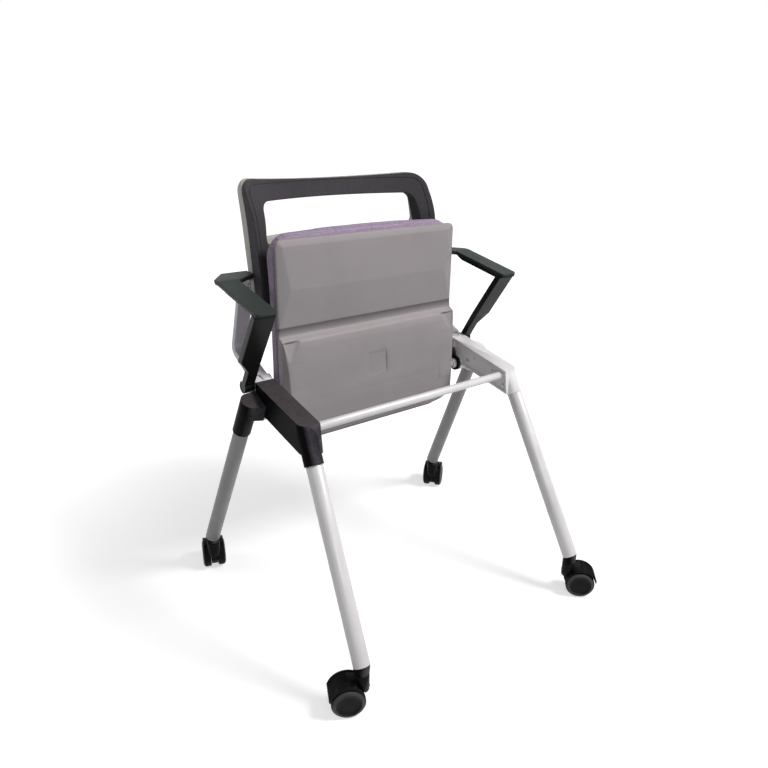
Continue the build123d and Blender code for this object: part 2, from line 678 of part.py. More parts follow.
def bevel_prisms(inset):
    """Wedges that bevel the shell's right side, above and below the groove, moved in by an inset."""
    side = SEAT_HALF_WIDTH - inset
    top_y = SEAT_BASE_Y - SHELL_EDGE
    low_y = LIP[0] + SHELL_EDGE
    with BuildPart() as wedges:
        with BuildSketch(Plane.XY.offset(groove_z)):
            with BuildLine():
                Polyline(
                    (side, top_y),
                    (side - 2 * SHELL_SIDE_BEVEL, top_y - SHELL_SIDE_BEVEL * 0.6),
                    (SEAT_HALF_WIDTH + inset + 1, top_y - SHELL_SIDE_BEVEL * 0.6),
                    (SEAT_HALF_WIDTH + inset + 1, top_y),
                    close=True,
                )
            make_face()
        extrude(amount=SEAT_RISE)
        with BuildSketch(Plane.XY.offset(SEAT_BOTTOM_Z)):
            with BuildLine():
                Polyline(
                    (side, low_y),
                    (side - SHELL_SIDE_BEVEL * 0.6, low_y - SHELL_SIDE_BEVEL),
                    (SEAT_HALF_WIDTH + inset + 1, low_y - SHELL_SIDE_BEVEL),
                    (SEAT_HALF_WIDTH + inset + 1, low_y),
                    close=True,
                )
            make_face()
        extrude(amount=groove_z - SEAT_BOTTOM_Z)
    return wedges.part


def scoop(mouth, tip):
    """A flattened half cone below the groove's right end. Its mouth and tip are each a depth and a height."""
    with BuildPart() as cut:
        with BuildSketch(Plane.XY.offset(mouth[1])):
            with Locations((SCOOP_X, mouth[0])):
                Ellipse(SCOOP_HALF_WIDTH, SCOOP_DEPTH)
        with BuildSketch(Plane.XY.offset(tip[1])):
            with Locations((SCOOP_X + SCOOP_HALF_WIDTH / 3, tip[0])):
                Ellipse(SCOOP_HALF_WIDTH / 8, SCOOP_DEPTH / 8)
        loft()
    return cut.part


wall_bevels = both(bevel_prisms(1.25 * SHELL_WALL))
shell_cuts = [
    *both(bevel_prisms(0)),
    *both(scoop((LIP[0], LIP[1] + 1), (BELLY[0][0], LIP[1] - SCOOP_DROP))),
]

with BuildPart() as shell_hollow:
    with BuildSketch(side_plane(-SEAT_HALF_WIDTH)):
        with BuildLine():
            Spline(HOLLOW_TOP, *HOLLOW_FACE, HOLLOW_BOTTOM)
            Polyline(
                HOLLOW_BOTTOM,
                (SEAT_BASE_Y + SHELL_WALL, HOLLOW_BOTTOM[1]),
                (SEAT_BASE_Y + SHELL_WALL, HOLLOW_TOP[1]),
                HOLLOW_TOP,
            )
        make_face()
    extrude(amount=2 * SEAT_HALF_WIDTH)
    extrude(
        seat_outline(-SHELL_WALL, -SHELL_WALL, -SHELL_WALL, -SHELL_WALL),
        amount=-2 * SEAT_BASE_Y,
        mode=Mode.INTERSECT,
    )
    add(wall_bevels, mode=Mode.SUBTRACT)
    # Full thickness is left behind the scoops
    with BuildSketch(front_plane(0)):
        with Locations((SCOOP_X, LIP[1]), (-SCOOP_X, LIP[1])):
            Rectangle(2 * (SCOOP_HALF_WIDTH + SCOOP_BACKING), 2 * (SCOOP_DROP + SCOOP_BACKING))
    extrude(amount=-2 * SEAT_BASE_Y, mode=Mode.SUBTRACT)

with BuildPart() as seat_shell:
    with BuildSketch(side_plane(-SEAT_HALF_WIDTH)):
        with BuildLine():
            Polyline(
                LIP,
                (groove_bottom_y, groove_z - GROOVE_HALF_HEIGHT),
                (groove_bottom_y, groove_z + GROOVE_HALF_HEIGHT),
                (SEAT_BASE_Y - SHELL_RIDGE, PIVOT_Z + SHELL_RIDGE_RISE),
                (SEAT_BASE_Y - SHELL_FACE, SEAT_TOP_Z - SHELL_TOP_BEVEL),
                (SEAT_BASE_Y - SHELL_EDGE, SEAT_TOP_Z),
                (SEAT_BASE_Y, SEAT_TOP_Z),
                (SEAT_BASE_Y, SEAT_BOTTOM_Z),
                (HEM[0], SEAT_BOTTOM_Z),
                HEM,
            )
            belly = Spline(LIP, *BELLY, HEM)
        make_face()
    extrude(amount=2 * SEAT_HALF_WIDTH)
    extrude(seat_outline(0, 0, 0), amount=-2 * SEAT_BASE_Y, mode=Mode.INTERSECT)
    add(shell_hollow.part, mode=Mode.SUBTRACT)
    add(shell_cuts, mode=Mode.SUBTRACT)
    with BuildSketch(side_plane(-SEAT_HALF_WIDTH)):
        with Locations((PIVOT_Y, PIVOT_Z)):
            Circle(TUBE_RADIUS + SHELL_TUBE_CLEARANCE)
    extrude(amount=2 * SEAT_HALF_WIDTH, mode=Mode.SUBTRACT)
    for side in (-1, 1):
        with BuildSketch(side_plane(side * HINGE_BLOCK_X - HINGE_BLOCK_WIDTH / 2)):
            with Locations((SEAT_BASE_Y - HINGE_BLOCK_DEPTH / 2, PIVOT_Z)):
                Rectangle(HINGE_BLOCK_DEPTH, HINGE_BLOCK_HEIGHT)
            with Locations((PIVOT_Y, PIVOT_Z)):
                Circle(TUBE_RADIUS + PIVOT_RUNNING_FIT, mode=Mode.SUBTRACT)
        extrude(amount=HINGE_BLOCK_WIDTH)
    # Square recess in the lower panel, sunk square to the panel's curve
    mark_at = share_at(belly, PIVOT_Z + MARK_RISE)
    at, way = belly @ mark_at, belly % mark_at
    mark_face = Plane((0, at.X, at.Y), x_dir=(1, 0, 0), z_dir=(0, way.Y, -way.X))
    with BuildSketch(mark_face.offset(-MARK_DEPTH)):
        Rectangle(MARK_SIZE, MARK_SIZE)
    extrude(amount=MARK_SIZE, mode=Mode.SUBTRACT)
    with BuildSketch(front_plane(SEAT_BASE_Y)):
        with Locations(*SEAT_SCREWS):
            Circle(SCREW_RADIUS + SCREW_FIT)
    extrude(amount=SEAT_SCREW_DEPTH, mode=Mode.SUBTRACT)
save(seat_shell.part, "seat_shell")

board_outline = seat_outline(-BOARD_INSET, -BOARD_INSET, -BOARD_INSET, -BOARD_INSET)
board_outline = board_outline.moved(Location((0, SEAT_BASE_Y, 0)))

with BuildPart() as seat_board:
    extrude(board_outline, amount=-BOARD_THICKNESS)
    with BuildSketch(front_plane(SEAT_BASE_Y)):
        with Locations(*SEAT_SCREWS):
            Circle(SCREW_RADIUS + SCREW_FIT)
    extrude(amount=-BOARD_THICKNESS, mode=Mode.SUBTRACT)
    with BuildSketch(front_plane(SEAT_BASE_Y + BOARD_THICKNESS)):
        with Locations(*SEAT_SCREWS):
            Circle(SCREW_HEAD_RADIUS + SCREW_FIT)
    extrude(amount=SCREW_HEAD_HEIGHT, mode=Mode.SUBTRACT)
save(seat_board.part, "seat_board")


def cushion_section(depth, drawn_in):
    """One outline of the cushion, at a depth from the shell's edge. Its sides pull in between the corners."""
    half = SEAT_HALF_WIDTH + CUSHION_OVERHANG - drawn_in
    high = SEAT_TOP_Z + CUSHION_TOP_OVERHANG - drawn_in
    low = SEAT_BOTTOM_Z + drawn_in
    middle = (high + low) / 2
    pull = CUSHION_DRAW_IN
    with BuildSketch(front_plane(SEAT_BASE_Y + CUSHION_GAP + depth)) as outline:
        with BuildLine():
            ThreePointArc((-half, low), (0, low + pull), (half, low))
            ThreePointArc((half, low), (half - pull, middle), (half, high))
            ThreePointArc((half, high), (0, high - pull), (-half, high))
            ThreePointArc((-half, high), (-half + pull, middle), (-half, low))
        make_face()
        fillet(outline.vertices().group_by(Axis.Y)[-1], CUSHION_CORNER)
        fillet(outline.vertices().group_by(Axis.Y)[0], SHELL_BOTTOM_CORNER)
    return outline.sketch


with BuildPart() as seat_cushion:
    for depth, drawn_in in CUSHION_SECTIONS:
        add(cushion_section(depth, drawn_in))
    loft(ruled=True)
    extrude(board_outline, amount=-(BOARD_THICKNESS + CUSHION_GAP), mode=Mode.SUBTRACT)
save(seat_cushion.part, "seat_cushion")


def screw(plane, length):
    """A round-head screw whose head rests on the plane and whose shank runs against the plane's normal."""
    with BuildPart() as fastener:
        with BuildSketch(plane):
            Circle(SCREW_RADIUS)
        extrude(amount=-length)
        with BuildSketch(plane):
            Circle(SCREW_HEAD_RADIUS)
        extrude(amount=SCREW_HEAD_HEIGHT)
    return fastener.part


with BuildPart() as seat_screws:
    for x, z in SEAT_SCREWS:
        add(
            screw(
                Plane((x, SEAT_BASE_Y + BOARD_THICKNESS - SCREW_HEAD_HEIGHT, z), z_dir=(0, 1, 0)),
                BOARD_THICKNESS - SCREW_HEAD_HEIGHT + SEAT_SCREW_DEPTH - 1,
            )
        )
save(seat_screws.part, "seat_screws")

# ---------------------------------------------------------------- backrest


UPRIGHT_TOP_Z = arm_top(ARM_LEVEL_Y) - ARM_STACK
BACK_BOTTOM_Z = UPRIGHT_TOP_Z - BACK_DROP
BACK_TOP_Z = BACK_BOTTOM_Z + BACK_HEIGHT
GRAB_TOP_Z = BACK_TOP_Z - TOP_RAIL
GRAB_BOTTOM_Z = GRAB_TOP_Z - GRAB_HEIGHT
GRAB_HALF_WIDTH_TOP = BACK_HALF_WIDTH - GRAB_SIDE_TOP
GRAB_HALF_WIDTH_BOTTOM = BACK_HALF_WIDTH - GRAB_SIDE_BOTTOM
MESH_TOP_Z = GRAB_BOTTOM_Z - MIDDLE_RAIL
MESH_BOTTOM_Z = BACK_BOTTOM_Z + LOWER_RAIL
MESH_HALF_WIDTH = BACK_HALF_WIDTH - MESH_SIDE
BACK_SCREWS = [(UPRIGHT_FRONT_Y - BACK_SCREW_LEAD, UPRIGHT_TOP_Z - drop) for drop in BACK_SCREW_DROPS]
# Enough to pass right through the back from the plane of the pivot
BACK_REACH = UPRIGHT_REAR_Y + BACK_AXIS_REACH


def at_centre(depth):
    """Distance of the curved back from its axis, for a depth behind the uprights' front at the side edge."""
    return hypot(depth + BACK_AXIS_REACH, BACK_HALF_WIDTH)


def station(row, column, shift):
    """One point of the back's side profile: distance from its axis and height."""
    return at_centre(row[column] + shift), BACK_BOTTOM_Z + row[0] * BACK_HEIGHT


SWEEP_START = Plane(
    origin=(0, BACK_AXIS_Y, 0),
    x_dir=(sin(radians(BACK_SWEEP)), cos(radians(BACK_SWEEP)), 0),
    z_dir=(cos(radians(BACK_SWEEP)), -sin(radians(BACK_SWEEP)), 0),
)


def curved_slab(front, rear, front_offset=0, rear_offset=0):
    """The space between two of the back's stationed surfaces, swept round the back's axis."""
    with BuildPart() as slab:
        with BuildSketch(SWEEP_START):
            with BuildLine():
                near = Spline(*[station(row, front, front_offset) for row in BACK_STATIONS])
                far = Spline(*[station(row, rear, rear_offset) for row in BACK_STATIONS])
                Line(near @ 0, far @ 0)
                Line(near @ 1, far @ 1)
            make_face()
        revolve(axis=Axis((0, BACK_AXIS_Y, 0), (0, 0, 1)), revolution_arc=2 * BACK_SWEEP)
    return slab.part


def back_outline():
    """Front view of the back, with a dip in its top edge."""
    half = BACK_HALF_WIDTH
    with BuildSketch(front_plane(0)) as outline:
        with BuildLine():
            top = ThreePointArc(
                (-half, BACK_TOP_Z), (0, BACK_TOP_Z - BACK_TOP_DIP), (half, BACK_TOP_Z)
            )
            Polyline(top @ 1, (half, BACK_BOTTOM_Z), (-half, BACK_BOTTOM_Z), top @ 0)
        make_face()
        fillet(outline.vertices().group_by(Axis.Y)[0], BACK_BOTTOM_CORNER)
        fillet(outline.vertices().group_by(Axis.Y)[-1], BACK_TOP_CORNER)
    return outline.sketch


def rounded_window(half_top, half_bottom, top, bottom, corner):
    """Front view of an opening whose sides may lean."""
    with BuildSketch(front_plane(0)) as window:
        with BuildLine():
            Polyline(
                (-half_top, top), (half_top, top), (half_bottom, bottom), (-half_bottom, bottom), close=True
            )
        make_face()
        fillet(window.vertices(), min(corner, 0.4 * (top - bottom)))
    return window.sketch


def back_blank(front, rear, front_offset=0, rear_offset=0):
    """A slab of the back, trimmed to its outline and with rounded corners."""
    with BuildPart() as blank:
        add(curved_slab(front, rear, front_offset, rear_offset))
        extrude(back_outline(), amount=-BACK_REACH, mode=Mode.INTERSECT)
    return blank.part


grab_opening = rounded_window(
    GRAB_HALF_WIDTH_TOP, GRAB_HALF_WIDTH_BOTTOM, GRAB_TOP_Z, GRAB_BOTTOM_Z, GRAB_CORNER
)
shell_opening = rounded_window(
    GRAB_HALF_WIDTH_TOP + GRAB_SHELL_MARGIN,
    GRAB_HALF_WIDTH_BOTTOM + GRAB_SHELL_MARGIN / 2,
    GRAB_TOP_Z,
    GRAB_BOTTOM_Z + GRAB_SHELL_MARGIN,
    GRAB_CORNER,
)
mesh_opening = rounded_window(MESH_HALF_WIDTH, MESH_HALF_WIDTH, MESH_TOP_Z, MESH_BOTTOM_Z, MESH_CORNER)
mesh_outline = rounded_window(
    MESH_HALF_WIDTH - MESH_EDGE_GAP,
    MESH_HALF_WIDTH - MESH_EDGE_GAP,
    MESH_TOP_Z - MESH_EDGE_GAP,
    MESH_BOTTOM_Z + MESH_EDGE_GAP,
    MESH_CORNER - MESH_EDGE_GAP,
)

with BuildPart() as back_frame:
    add(back_blank(1, 2))
    extrude(grab_opening, amount=-BACK_REACH, mode=Mode.SUBTRACT)
    extrude(mesh_opening, amount=-BACK_REACH, mode=Mode.SUBTRACT)
save(back_frame.part, "back_frame")

with BuildPart() as back_shell:
    add(back_blank(2, 3, front_offset=BACK_JOINT_GAP))
    extrude(shell_opening, amount=-BACK_REACH, mode=Mode.SUBTRACT)
    with BuildSketch(side_plane(-BACK_HALF_WIDTH)):
        with Locations(*BACK_SCREWS):
            Circle(SCREW_RADIUS + SCREW_FIT)
    extrude(amount=BACK_SCREW_BITE, mode=Mode.SUBTRACT)
    with BuildSketch(side_plane(BACK_HALF_WIDTH)):
        with Locations(*BACK_SCREWS):
            Circle(SCREW_RADIUS + SCREW_FIT)
    extrude(amount=-BACK_SCREW_BITE, mode=Mode.SUBTRACT)
save(back_shell.part, "back_shell")

with BuildPart() as back_mesh:
    add(curved_slab(1, 1, front_offset=MESH_SET_BACK, rear_offset=MESH_SET_BACK + MESH_THICKNESS))
    extrude(mesh_outline, amount=-BACK_REACH, mode=Mode.INTERSECT)
save(back_mesh.part, "back_mesh")

# ---------------------------------------------------------------- uprights


UPRIGHT_BEND_Z = KNUCKLE_Z + UPRIGHT_BEND_RISE


def upright_edges():
    """Front view of an upright: its inner and outer edges from the foot to the top."""
    waist_z = UPRIGHT_TOP_Z - UPRIGHT_WAIST_DROP
    heights = [KNUCKLE_Z - 2 * KNUCKLE_RADIUS, UPRIGHT_BEND_Z, waist_z, UPRIGHT_TOP_Z]
    inner = [(BEAM_INNER_X + x, z) for (x, _), z in zip(UPRIGHT_EDGES, heights)]
    outer = [(BEAM_INNER_X + x, z) for (_, x), z in zip(UPRIGHT_EDGES, heights)]
    return inner + outer[::-1]


with BuildPart() as upright_master:
    with BuildSketch(side_plane(BACK_HALF_WIDTH)):
        with BuildLine():
            FilletPolyline(
                (KNUCKLE_Y, KNUCKLE_Z + UPRIGHT_FOOT_RISE),
                (UPRIGHT_MIDDLE_Y, UPRIGHT_BEND_Z),
                (UPRIGHT_MIDDLE_Y, UPRIGHT_TOP_Z + UPRIGHT_THICKNESS),
                radius=UPRIGHT_BEND_RADIUS,
            )
        trace(line_width=UPRIGHT_THICKNESS)
    extrude(amount=ARM_WIDTH + BEAM_WIDTH)
    with BuildSketch(front_plane(0)):
        with BuildLine():
            Polyline(*upright_edges(), close=True)
        make_face()
    extrude(amount=-BACK_REACH, mode=Mode.INTERSECT)
    with BuildSketch(side_plane(BEAM_MIDDLE_X)):
        with Locations((KNUCKLE_Y, KNUCKLE_Z)):
            Circle(KNUCKLE_RADIUS + KNUCKLE_GAP)
    extrude(amount=BEAM_WIDTH, mode=Mode.SUBTRACT)
    with BuildSketch(side_plane(BEAM_INNER_X)):
        with Locations((KNUCKLE_Y, KNUCKLE_Z)):
            Circle(KNUCKLE_RADIUS)
    extrude(amount=BEAM_WIDTH / 2)
    with BuildSketch(side_plane(BEAM_INNER_X)):
        with Locations((KNUCKLE_Y, KNUCKLE_Z)):
            Circle(BOLT_RADIUS + SCREW_FIT)
    extrude(amount=BEAM_WIDTH / 2, mode=Mode.SUBTRACT)
    # Flange against the back's side, and room in the bar for the screw heads
    with BuildSketch(side_plane(BACK_HALF_WIDTH + FLANGE_THICKNESS)):
        with Locations(*BACK_SCREWS):
            Circle(SCREW_HEAD_RADIUS + 2 * SCREW_FIT)
    extrude(amount=ARM_WIDTH, mode=Mode.SUBTRACT)
    with BuildSketch(side_plane(BACK_HALF_WIDTH)):
        with Locations((UPRIGHT_REAR_Y, BACK_SCREWS[0][1] - FLANGE_MARGIN)):
            Rectangle(
                UPRIGHT_THICKNESS + FLANGE_LEAD,
                BACK_SCREWS[-1][1] - BACK_SCREWS[0][1] + 2 * FLANGE_MARGIN,
                align=(Align.MAX, Align.MIN),
            )
    extrude(amount=FLANGE_THICKNESS)
    with BuildSketch(side_plane(BACK_HALF_WIDTH)):
        with Locations(*BACK_SCREWS):
            Circle(SCREW_RADIUS + SCREW_FIT)
    extrude(amount=FLANGE_THICKNESS, mode=Mode.SUBTRACT)
save(upright_master.part, "back_upright_right")
save(mirrored(upright_master.part), "back_upright_left")

# ---------------------------------------------------------------- armrests

ARM_PLAN = [
    (ARM_INNER_X, ARM_FRONT_Y),
    (ARM_OUTER_X, ARM_FRONT_Y),
    (ARM_OUTER_X, ARM_REAR_Y - ARM_CORNER),
    (ARM_OUTER_X - ARM_CORNER * 0.75, ARM_REAR_Y),
    (ARM_REAR_X, ARM_REAR_Y),
    (ARM_REAR_X, ARM_REAR_Y - ARM_ROOT_LENGTH),
    (ARM_INNER_X, ARM_LEVEL_Y - ARM_ROOT_STEP),
]


def arm_strip(top, bottom, inset):
    """A slice of the armrest between two depths below its top surface, cut to the plan."""
    with BuildPart() as strip:
        with BuildSketch(side_plane(ARM_REAR_X)):
            with BuildLine():
                Polyline(
                    (ARM_FRONT_Y, arm_top(ARM_FRONT_Y) - top),
                    (ARM_LEVEL_Y, arm_top(ARM_LEVEL_Y) - top),
                    (ARM_REAR_Y, arm_top(ARM_REAR_Y) - top),
                    (ARM_REAR_Y, arm_top(ARM_REAR_Y) - bottom),
                    (ARM_LEVEL_Y, arm_top(ARM_LEVEL_Y) - bottom),
                    (ARM_FRONT_Y, arm_top(ARM_FRONT_Y) - bottom),
                    close=True,
                )
            make_face()
        extrude(amount=ARM_OUTER_X - ARM_REAR_X)
        with BuildSketch(Plane.XY.offset(ARM_FRONT_Z - ARM_WIDTH)) as plan:
            with BuildLine():
                Polyline(*ARM_PLAN, close=True)
            make_face()
            fillet(plan.vertices().group_by(Axis.Y)[0], ARM_FRONT_CORNER)
            if inset:
                offset(amount=-inset)
        extrude(amount=3 * ARM_WIDTH, mode=Mode.INTERSECT)
    return strip.part


with BuildPart() as arm_frame:
    with BuildSketch(side_plane(ARM_INNER_X)):
        with BuildLine():
            FilletPolyline(
                (STRUT_TOP_Y, arm_top(STRUT_TOP_Y) - ARM_STACK),
                (KNUCKLE_Y - STRUT_KNEE_REACH, KNUCKLE_Z + STRUT_KNEE_RISE),
                (KNUCKLE_Y, KNUCKLE_Z),
                radius=STRUT_BEND_RADIUS,
            )
        trace(line_width=STRUT_THICKNESS)
        with Locations((KNUCKLE_Y, KNUCKLE_Z)):
            Circle(STRUT_FOOT_RADIUS)
    extrude(amount=ARM_WIDTH)
    with BuildSketch(front_plane(0)):
        with BuildLine():
            Polyline(
                (ARM_INNER_X, KNUCKLE_Z - 2 * STRUT_FOOT_RADIUS),
                (ARM_INNER_X + STRUT_FOOT_WIDTH, KNUCKLE_Z - 2 * STRUT_FOOT_RADIUS),
                (ARM_INNER_X + STRUT_FOOT_WIDTH, KNUCKLE_Z + STRUT_STEP_BOTTOM),
                (ARM_OUTER_X, KNUCKLE_Z + STRUT_STEP_TOP),
                (ARM_OUTER_X, arm_top(STRUT_TOP_Y) - ARM_PAD_THICKNESS),
                (ARM_INNER_X, arm_top(STRUT_TOP_Y) - ARM_PAD_THICKNESS),
                close=True,
            )
        make_face()
    extrude(amount=-BACK_REACH, mode=Mode.INTERSECT)
    split(
        bisect_by=Plane(
            (0, ARM_FRONT_Y, arm_top(ARM_FRONT_Y) - ARM_PAD_THICKNESS),
            x_dir=(1, 0, 0),
            z_dir=(0, -ARM_SLOPE, 1),
        ),
        keep=Keep.BOTTOM,
    )
    add(arm_strip(ARM_PAD_THICKNESS, ARM_STACK, ARM_PLATE_INSET))
    # Stiffening rib under the plate
    with BuildSketch(side_plane((ARM_INNER_X + ARM_OUTER_X - ARM_RIB_WIDTH) / 2)):
        with BuildLine():
            Polyline(
                (STRUT_TOP_Y, arm_top(STRUT_TOP_Y) - ARM_STACK),
                (ARM_LEVEL_Y, arm_top(ARM_LEVEL_Y) - ARM_STACK),
                (ARM_LEVEL_Y + ARM_RIB_RUN, arm_top(ARM_LEVEL_Y) - ARM_STACK),
                (ARM_LEVEL_Y - ARM_RIB_RUN, arm_top(ARM_LEVEL_Y - ARM_RIB_RUN) - ARM_STACK - ARM_RIB_DEPTH),
                (STRUT_TOP_Y, arm_top(STRUT_TOP_Y) - ARM_STACK - ARM_RIB_DEPTH),
                close=True,
            )
        make_face()
    extrude(amount=ARM_RIB_WIDTH)
    with BuildSketch(side_plane(ARM_INNER_X)):
        with Locations((KNUCKLE_Y, KNUCKLE_Z)):
            Circle(BOLT_RADIUS + SCREW_FIT)
    extrude(amount=STRUT_FOOT_WIDTH, mode=Mode.SUBTRACT)
    with BuildSketch(side_plane(ARM_INNER_X + STRUT_FOOT_WIDTH)):
        with Locations((KNUCKLE_Y, KNUCKLE_Z)):
            Circle(BOLT_HEAD_RADIUS + SCREW_FIT)
    extrude(amount=-(BOLT_HEAD_HEIGHT + BOLT_HEAD_GAP), mode=Mode.SUBTRACT)
save(arm_frame.part, "armrest_right")
save(mirrored(arm_frame.part), "armrest_left")

arm_pad = arm_strip(0, ARM_PAD_THICKNESS, 0)
save(arm_pad, "arm_pad_right")
save(mirrored(arm_pad), "arm_pad_left")

# ---------------------------------------------------------------- casters, each trailing along local +X


def hood_point(angle):
    """A point well outside the wheels, at an angle above the trailing side."""
    reach = 3 * WHEEL_RADIUS
    return TRAIL + reach * cos(radians(angle)), WHEEL_RADIUS + reach * sin(radians(angle))


with BuildPart() as caster_hood:
    with BuildSketch(Plane.XZ):
        with Locations((TRAIL, WHEEL_RADIUS)):
            Circle(WHEEL_RADIUS + HOOD_GAP + HOOD_WALL)
            Circle(WHEEL_RADIUS + HOOD_GAP, mode=Mode.SUBTRACT)
        with BuildLine():
            Polyline((TRAIL, WHEEL_RADIUS), *[hood_point(angle) for angle in HOOD_SECTOR], close=True)
        make_face(mode=Mode.INTERSECT)
    extrude(amount=HOOD_WIDTH / 2, both=True)
    with BuildSketch(Plane.XY.offset(SWIVEL_BASE_Z)):
        Circle(SWIVEL_RADIUS)
    extrude(amount=CASTER_HEIGHT - NECK_TOP_GAP - SWIVEL_BASE_Z)
    with BuildSketch(Plane.XZ.offset(-HOOD_WIDTH)):
        with Locations((TRAIL, WHEEL_RADIUS)):
            Circle(WHEEL_RADIUS + HOOD_GAP)
    extrude(amount=2 * HOOD_WIDTH, mode=Mode.SUBTRACT)
    with BuildSketch(Plane.XZ):
        with Locations((TRAIL, WHEEL_RADIUS)):
            Circle(CORE_RADIUS)
        with BuildLine():
            Polyline(
                (-SWIVEL_RADIUS, SWIVEL_BASE_Z + HOOD_NECK_STEP),
                (TRAIL - CORE_RADIUS + HOOD_NECK_INSET, WHEEL_RADIUS),
                (TRAIL, WHEEL_RADIUS),
                (TRAIL, 2 * WHEEL_RADIUS + HOOD_GAP + HOOD_WALL / 2),
                (0, 2 * WHEEL_RADIUS),
                (HOOD_NECK_INSET - SWIVEL_RADIUS, 2 * WHEEL_RADIUS - HOOD_SHOULDER_DROP),
                close=True,
            )
        make_face()
    extrude(amount=CORE_WIDTH / 2, both=True)
    with BuildSketch(Plane.XY.offset(STEM_BOTTOM_Z - NECK_TOP_GAP)):
        Circle(STEM_RADIUS + STEM_RUNNING_FIT)
    extrude(amount=CASTER_HEIGHT - STEM_BOTTOM_Z + NECK_TOP_GAP, mode=Mode.SUBTRACT)
    with BuildSketch(Plane.XZ.offset(-HOOD_WIDTH)):
        with Locations((TRAIL, WHEEL_RADIUS)):
            Circle(AXLE_RADIUS + AXLE_HOLE_FIT)
    extrude(amount=2 * HOOD_WIDTH, mode=Mode.SUBTRACT)

with BuildPart() as caster_axle:
    with BuildSketch(Plane.XZ):
        with Locations((TRAIL, WHEEL_RADIUS)):
            Circle(AXLE_RADIUS)
    extrude(amount=WHEEL_GAP / 2 + AXLE_ENGAGEMENT, both=True)

with BuildPart() as caster_wheel:
    with BuildSketch(Plane.YZ.offset(TRAIL)):
        with BuildLine():
            inner = WHEEL_GAP / 2
            outer = inner + WHEEL_WIDTH
            rim = WHEEL_RADIUS + WHEEL_FACE_RADIUS
            tread = 2 * WHEEL_RADIUS - WHEEL_TREAD_CROWN
            Polyline(
                (outer - WHEEL_SHOULDER, tread),
                (outer - WHEEL_DISH / 3, tread - 1.5 * WHEEL_SHOULDER),
                (outer, rim + WHEEL_DISH),
                (outer - WHEEL_DISH / 3, rim),
                (outer - WHEEL_DISH, rim - WHEEL_DISH / 2),
                (outer - WHEEL_DISH, WHEEL_RADIUS),
                (inner, WHEEL_RADIUS),
                (inner, tread - WHEEL_SHOULDER),
                (inner + WHEEL_SHOULDER, tread),
            )
            ThreePointArc(
                (inner + WHEEL_SHOULDER, tread),
                (inner + WHEEL_WIDTH / 2, 2 * WHEEL_RADIUS),
                (outer - WHEEL_SHOULDER, tread),
            )
        make_face()
    revolve(axis=Axis((TRAIL, 0, WHEEL_RADIUS), (0, 1, 0)))
    with BuildSketch(Plane.XZ.offset(-inner)):
        with Locations((TRAIL, WHEEL_RADIUS)):
            Circle(AXLE_RADIUS + AXLE_RUNNING_FIT)
    extrude(amount=-(AXLE_ENGAGEMENT + AXLE_END_PLAY), mode=Mode.SUBTRACT)

with BuildPart() as caster_wheel_mate:
    mirror(caster_wheel.part, about=Plane.XZ)

for corner, angle in CASTER_ANGLES.items():
    place = Location((FEET[corner][0], FEET[corner][1], 0), (0, 0, angle))
    save(caster_hood.part.moved(place), f"caster_hood_{corner}")
    save(caster_axle.part.moved(place), f"caster_axle_{corner}")
    save(caster_wheel.part.moved(place), f"caster_wheel_{corner}_a")
    save(caster_wheel_mate.part.moved(place), f"caster_wheel_{corner}_b")

# ---------------------------------------------------------------- screws and bolts

BOLT_START_X = BEAM_INNER_X + BOLT_HEAD_GAP
BOLT_HEAD_X = ARM_INNER_X + STRUT_FOOT_WIDTH - BOLT_HEAD_HEIGHT - BOLT_HEAD_GAP

with BuildPart() as arm_bolts:
    with BuildSketch(side_plane(BOLT_HEAD_X)):
        with Locations((KNUCKLE_Y, KNUCKLE_Z)):
            Circle(BOLT_HEAD_RADIUS)
    extrude(amount=BOLT_HEAD_HEIGHT)
    with BuildSketch(side_plane(BOLT_START_X)):
        with Locations((KNUCKLE_Y, KNUCKLE_Z)):
            Circle(BOLT_RADIUS)
    extrude(amount=BOLT_HEAD_X - BOLT_START_X)
    mirror(about=Plane.YZ)
save(arm_bolts.part, "arm_bolts")

with BuildPart() as back_screws:
    for y, z in BACK_SCREWS:
        head = Plane((BACK_HALF_WIDTH + FLANGE_THICKNESS, y, z), z_dir=(1, 0, 0))
        add(screw(head, FLANGE_THICKNESS + BACK_SCREW_BITE - 0.5))
    mirror(about=Plane.YZ)
save(back_screws.part, "back_screws")

# Screws through the inner faces of the beams into the cross tubes and the front necks
with BuildPart() as beam_screws:
    for y, z in BEAM_SCREWS:
        add(screw(Plane((BEAM_INNER_X + BEAM_RECESS_DEPTH, y, z), z_dir=(-1, 0, 0)), BEAM_SCREW_LENGTH))
    mirror(about=Plane.YZ)
save(beam_screws.part, "beam_screws")
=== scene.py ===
import json
import math

import bmesh
import bpy
from mathutils import Matrix, Vector, noise


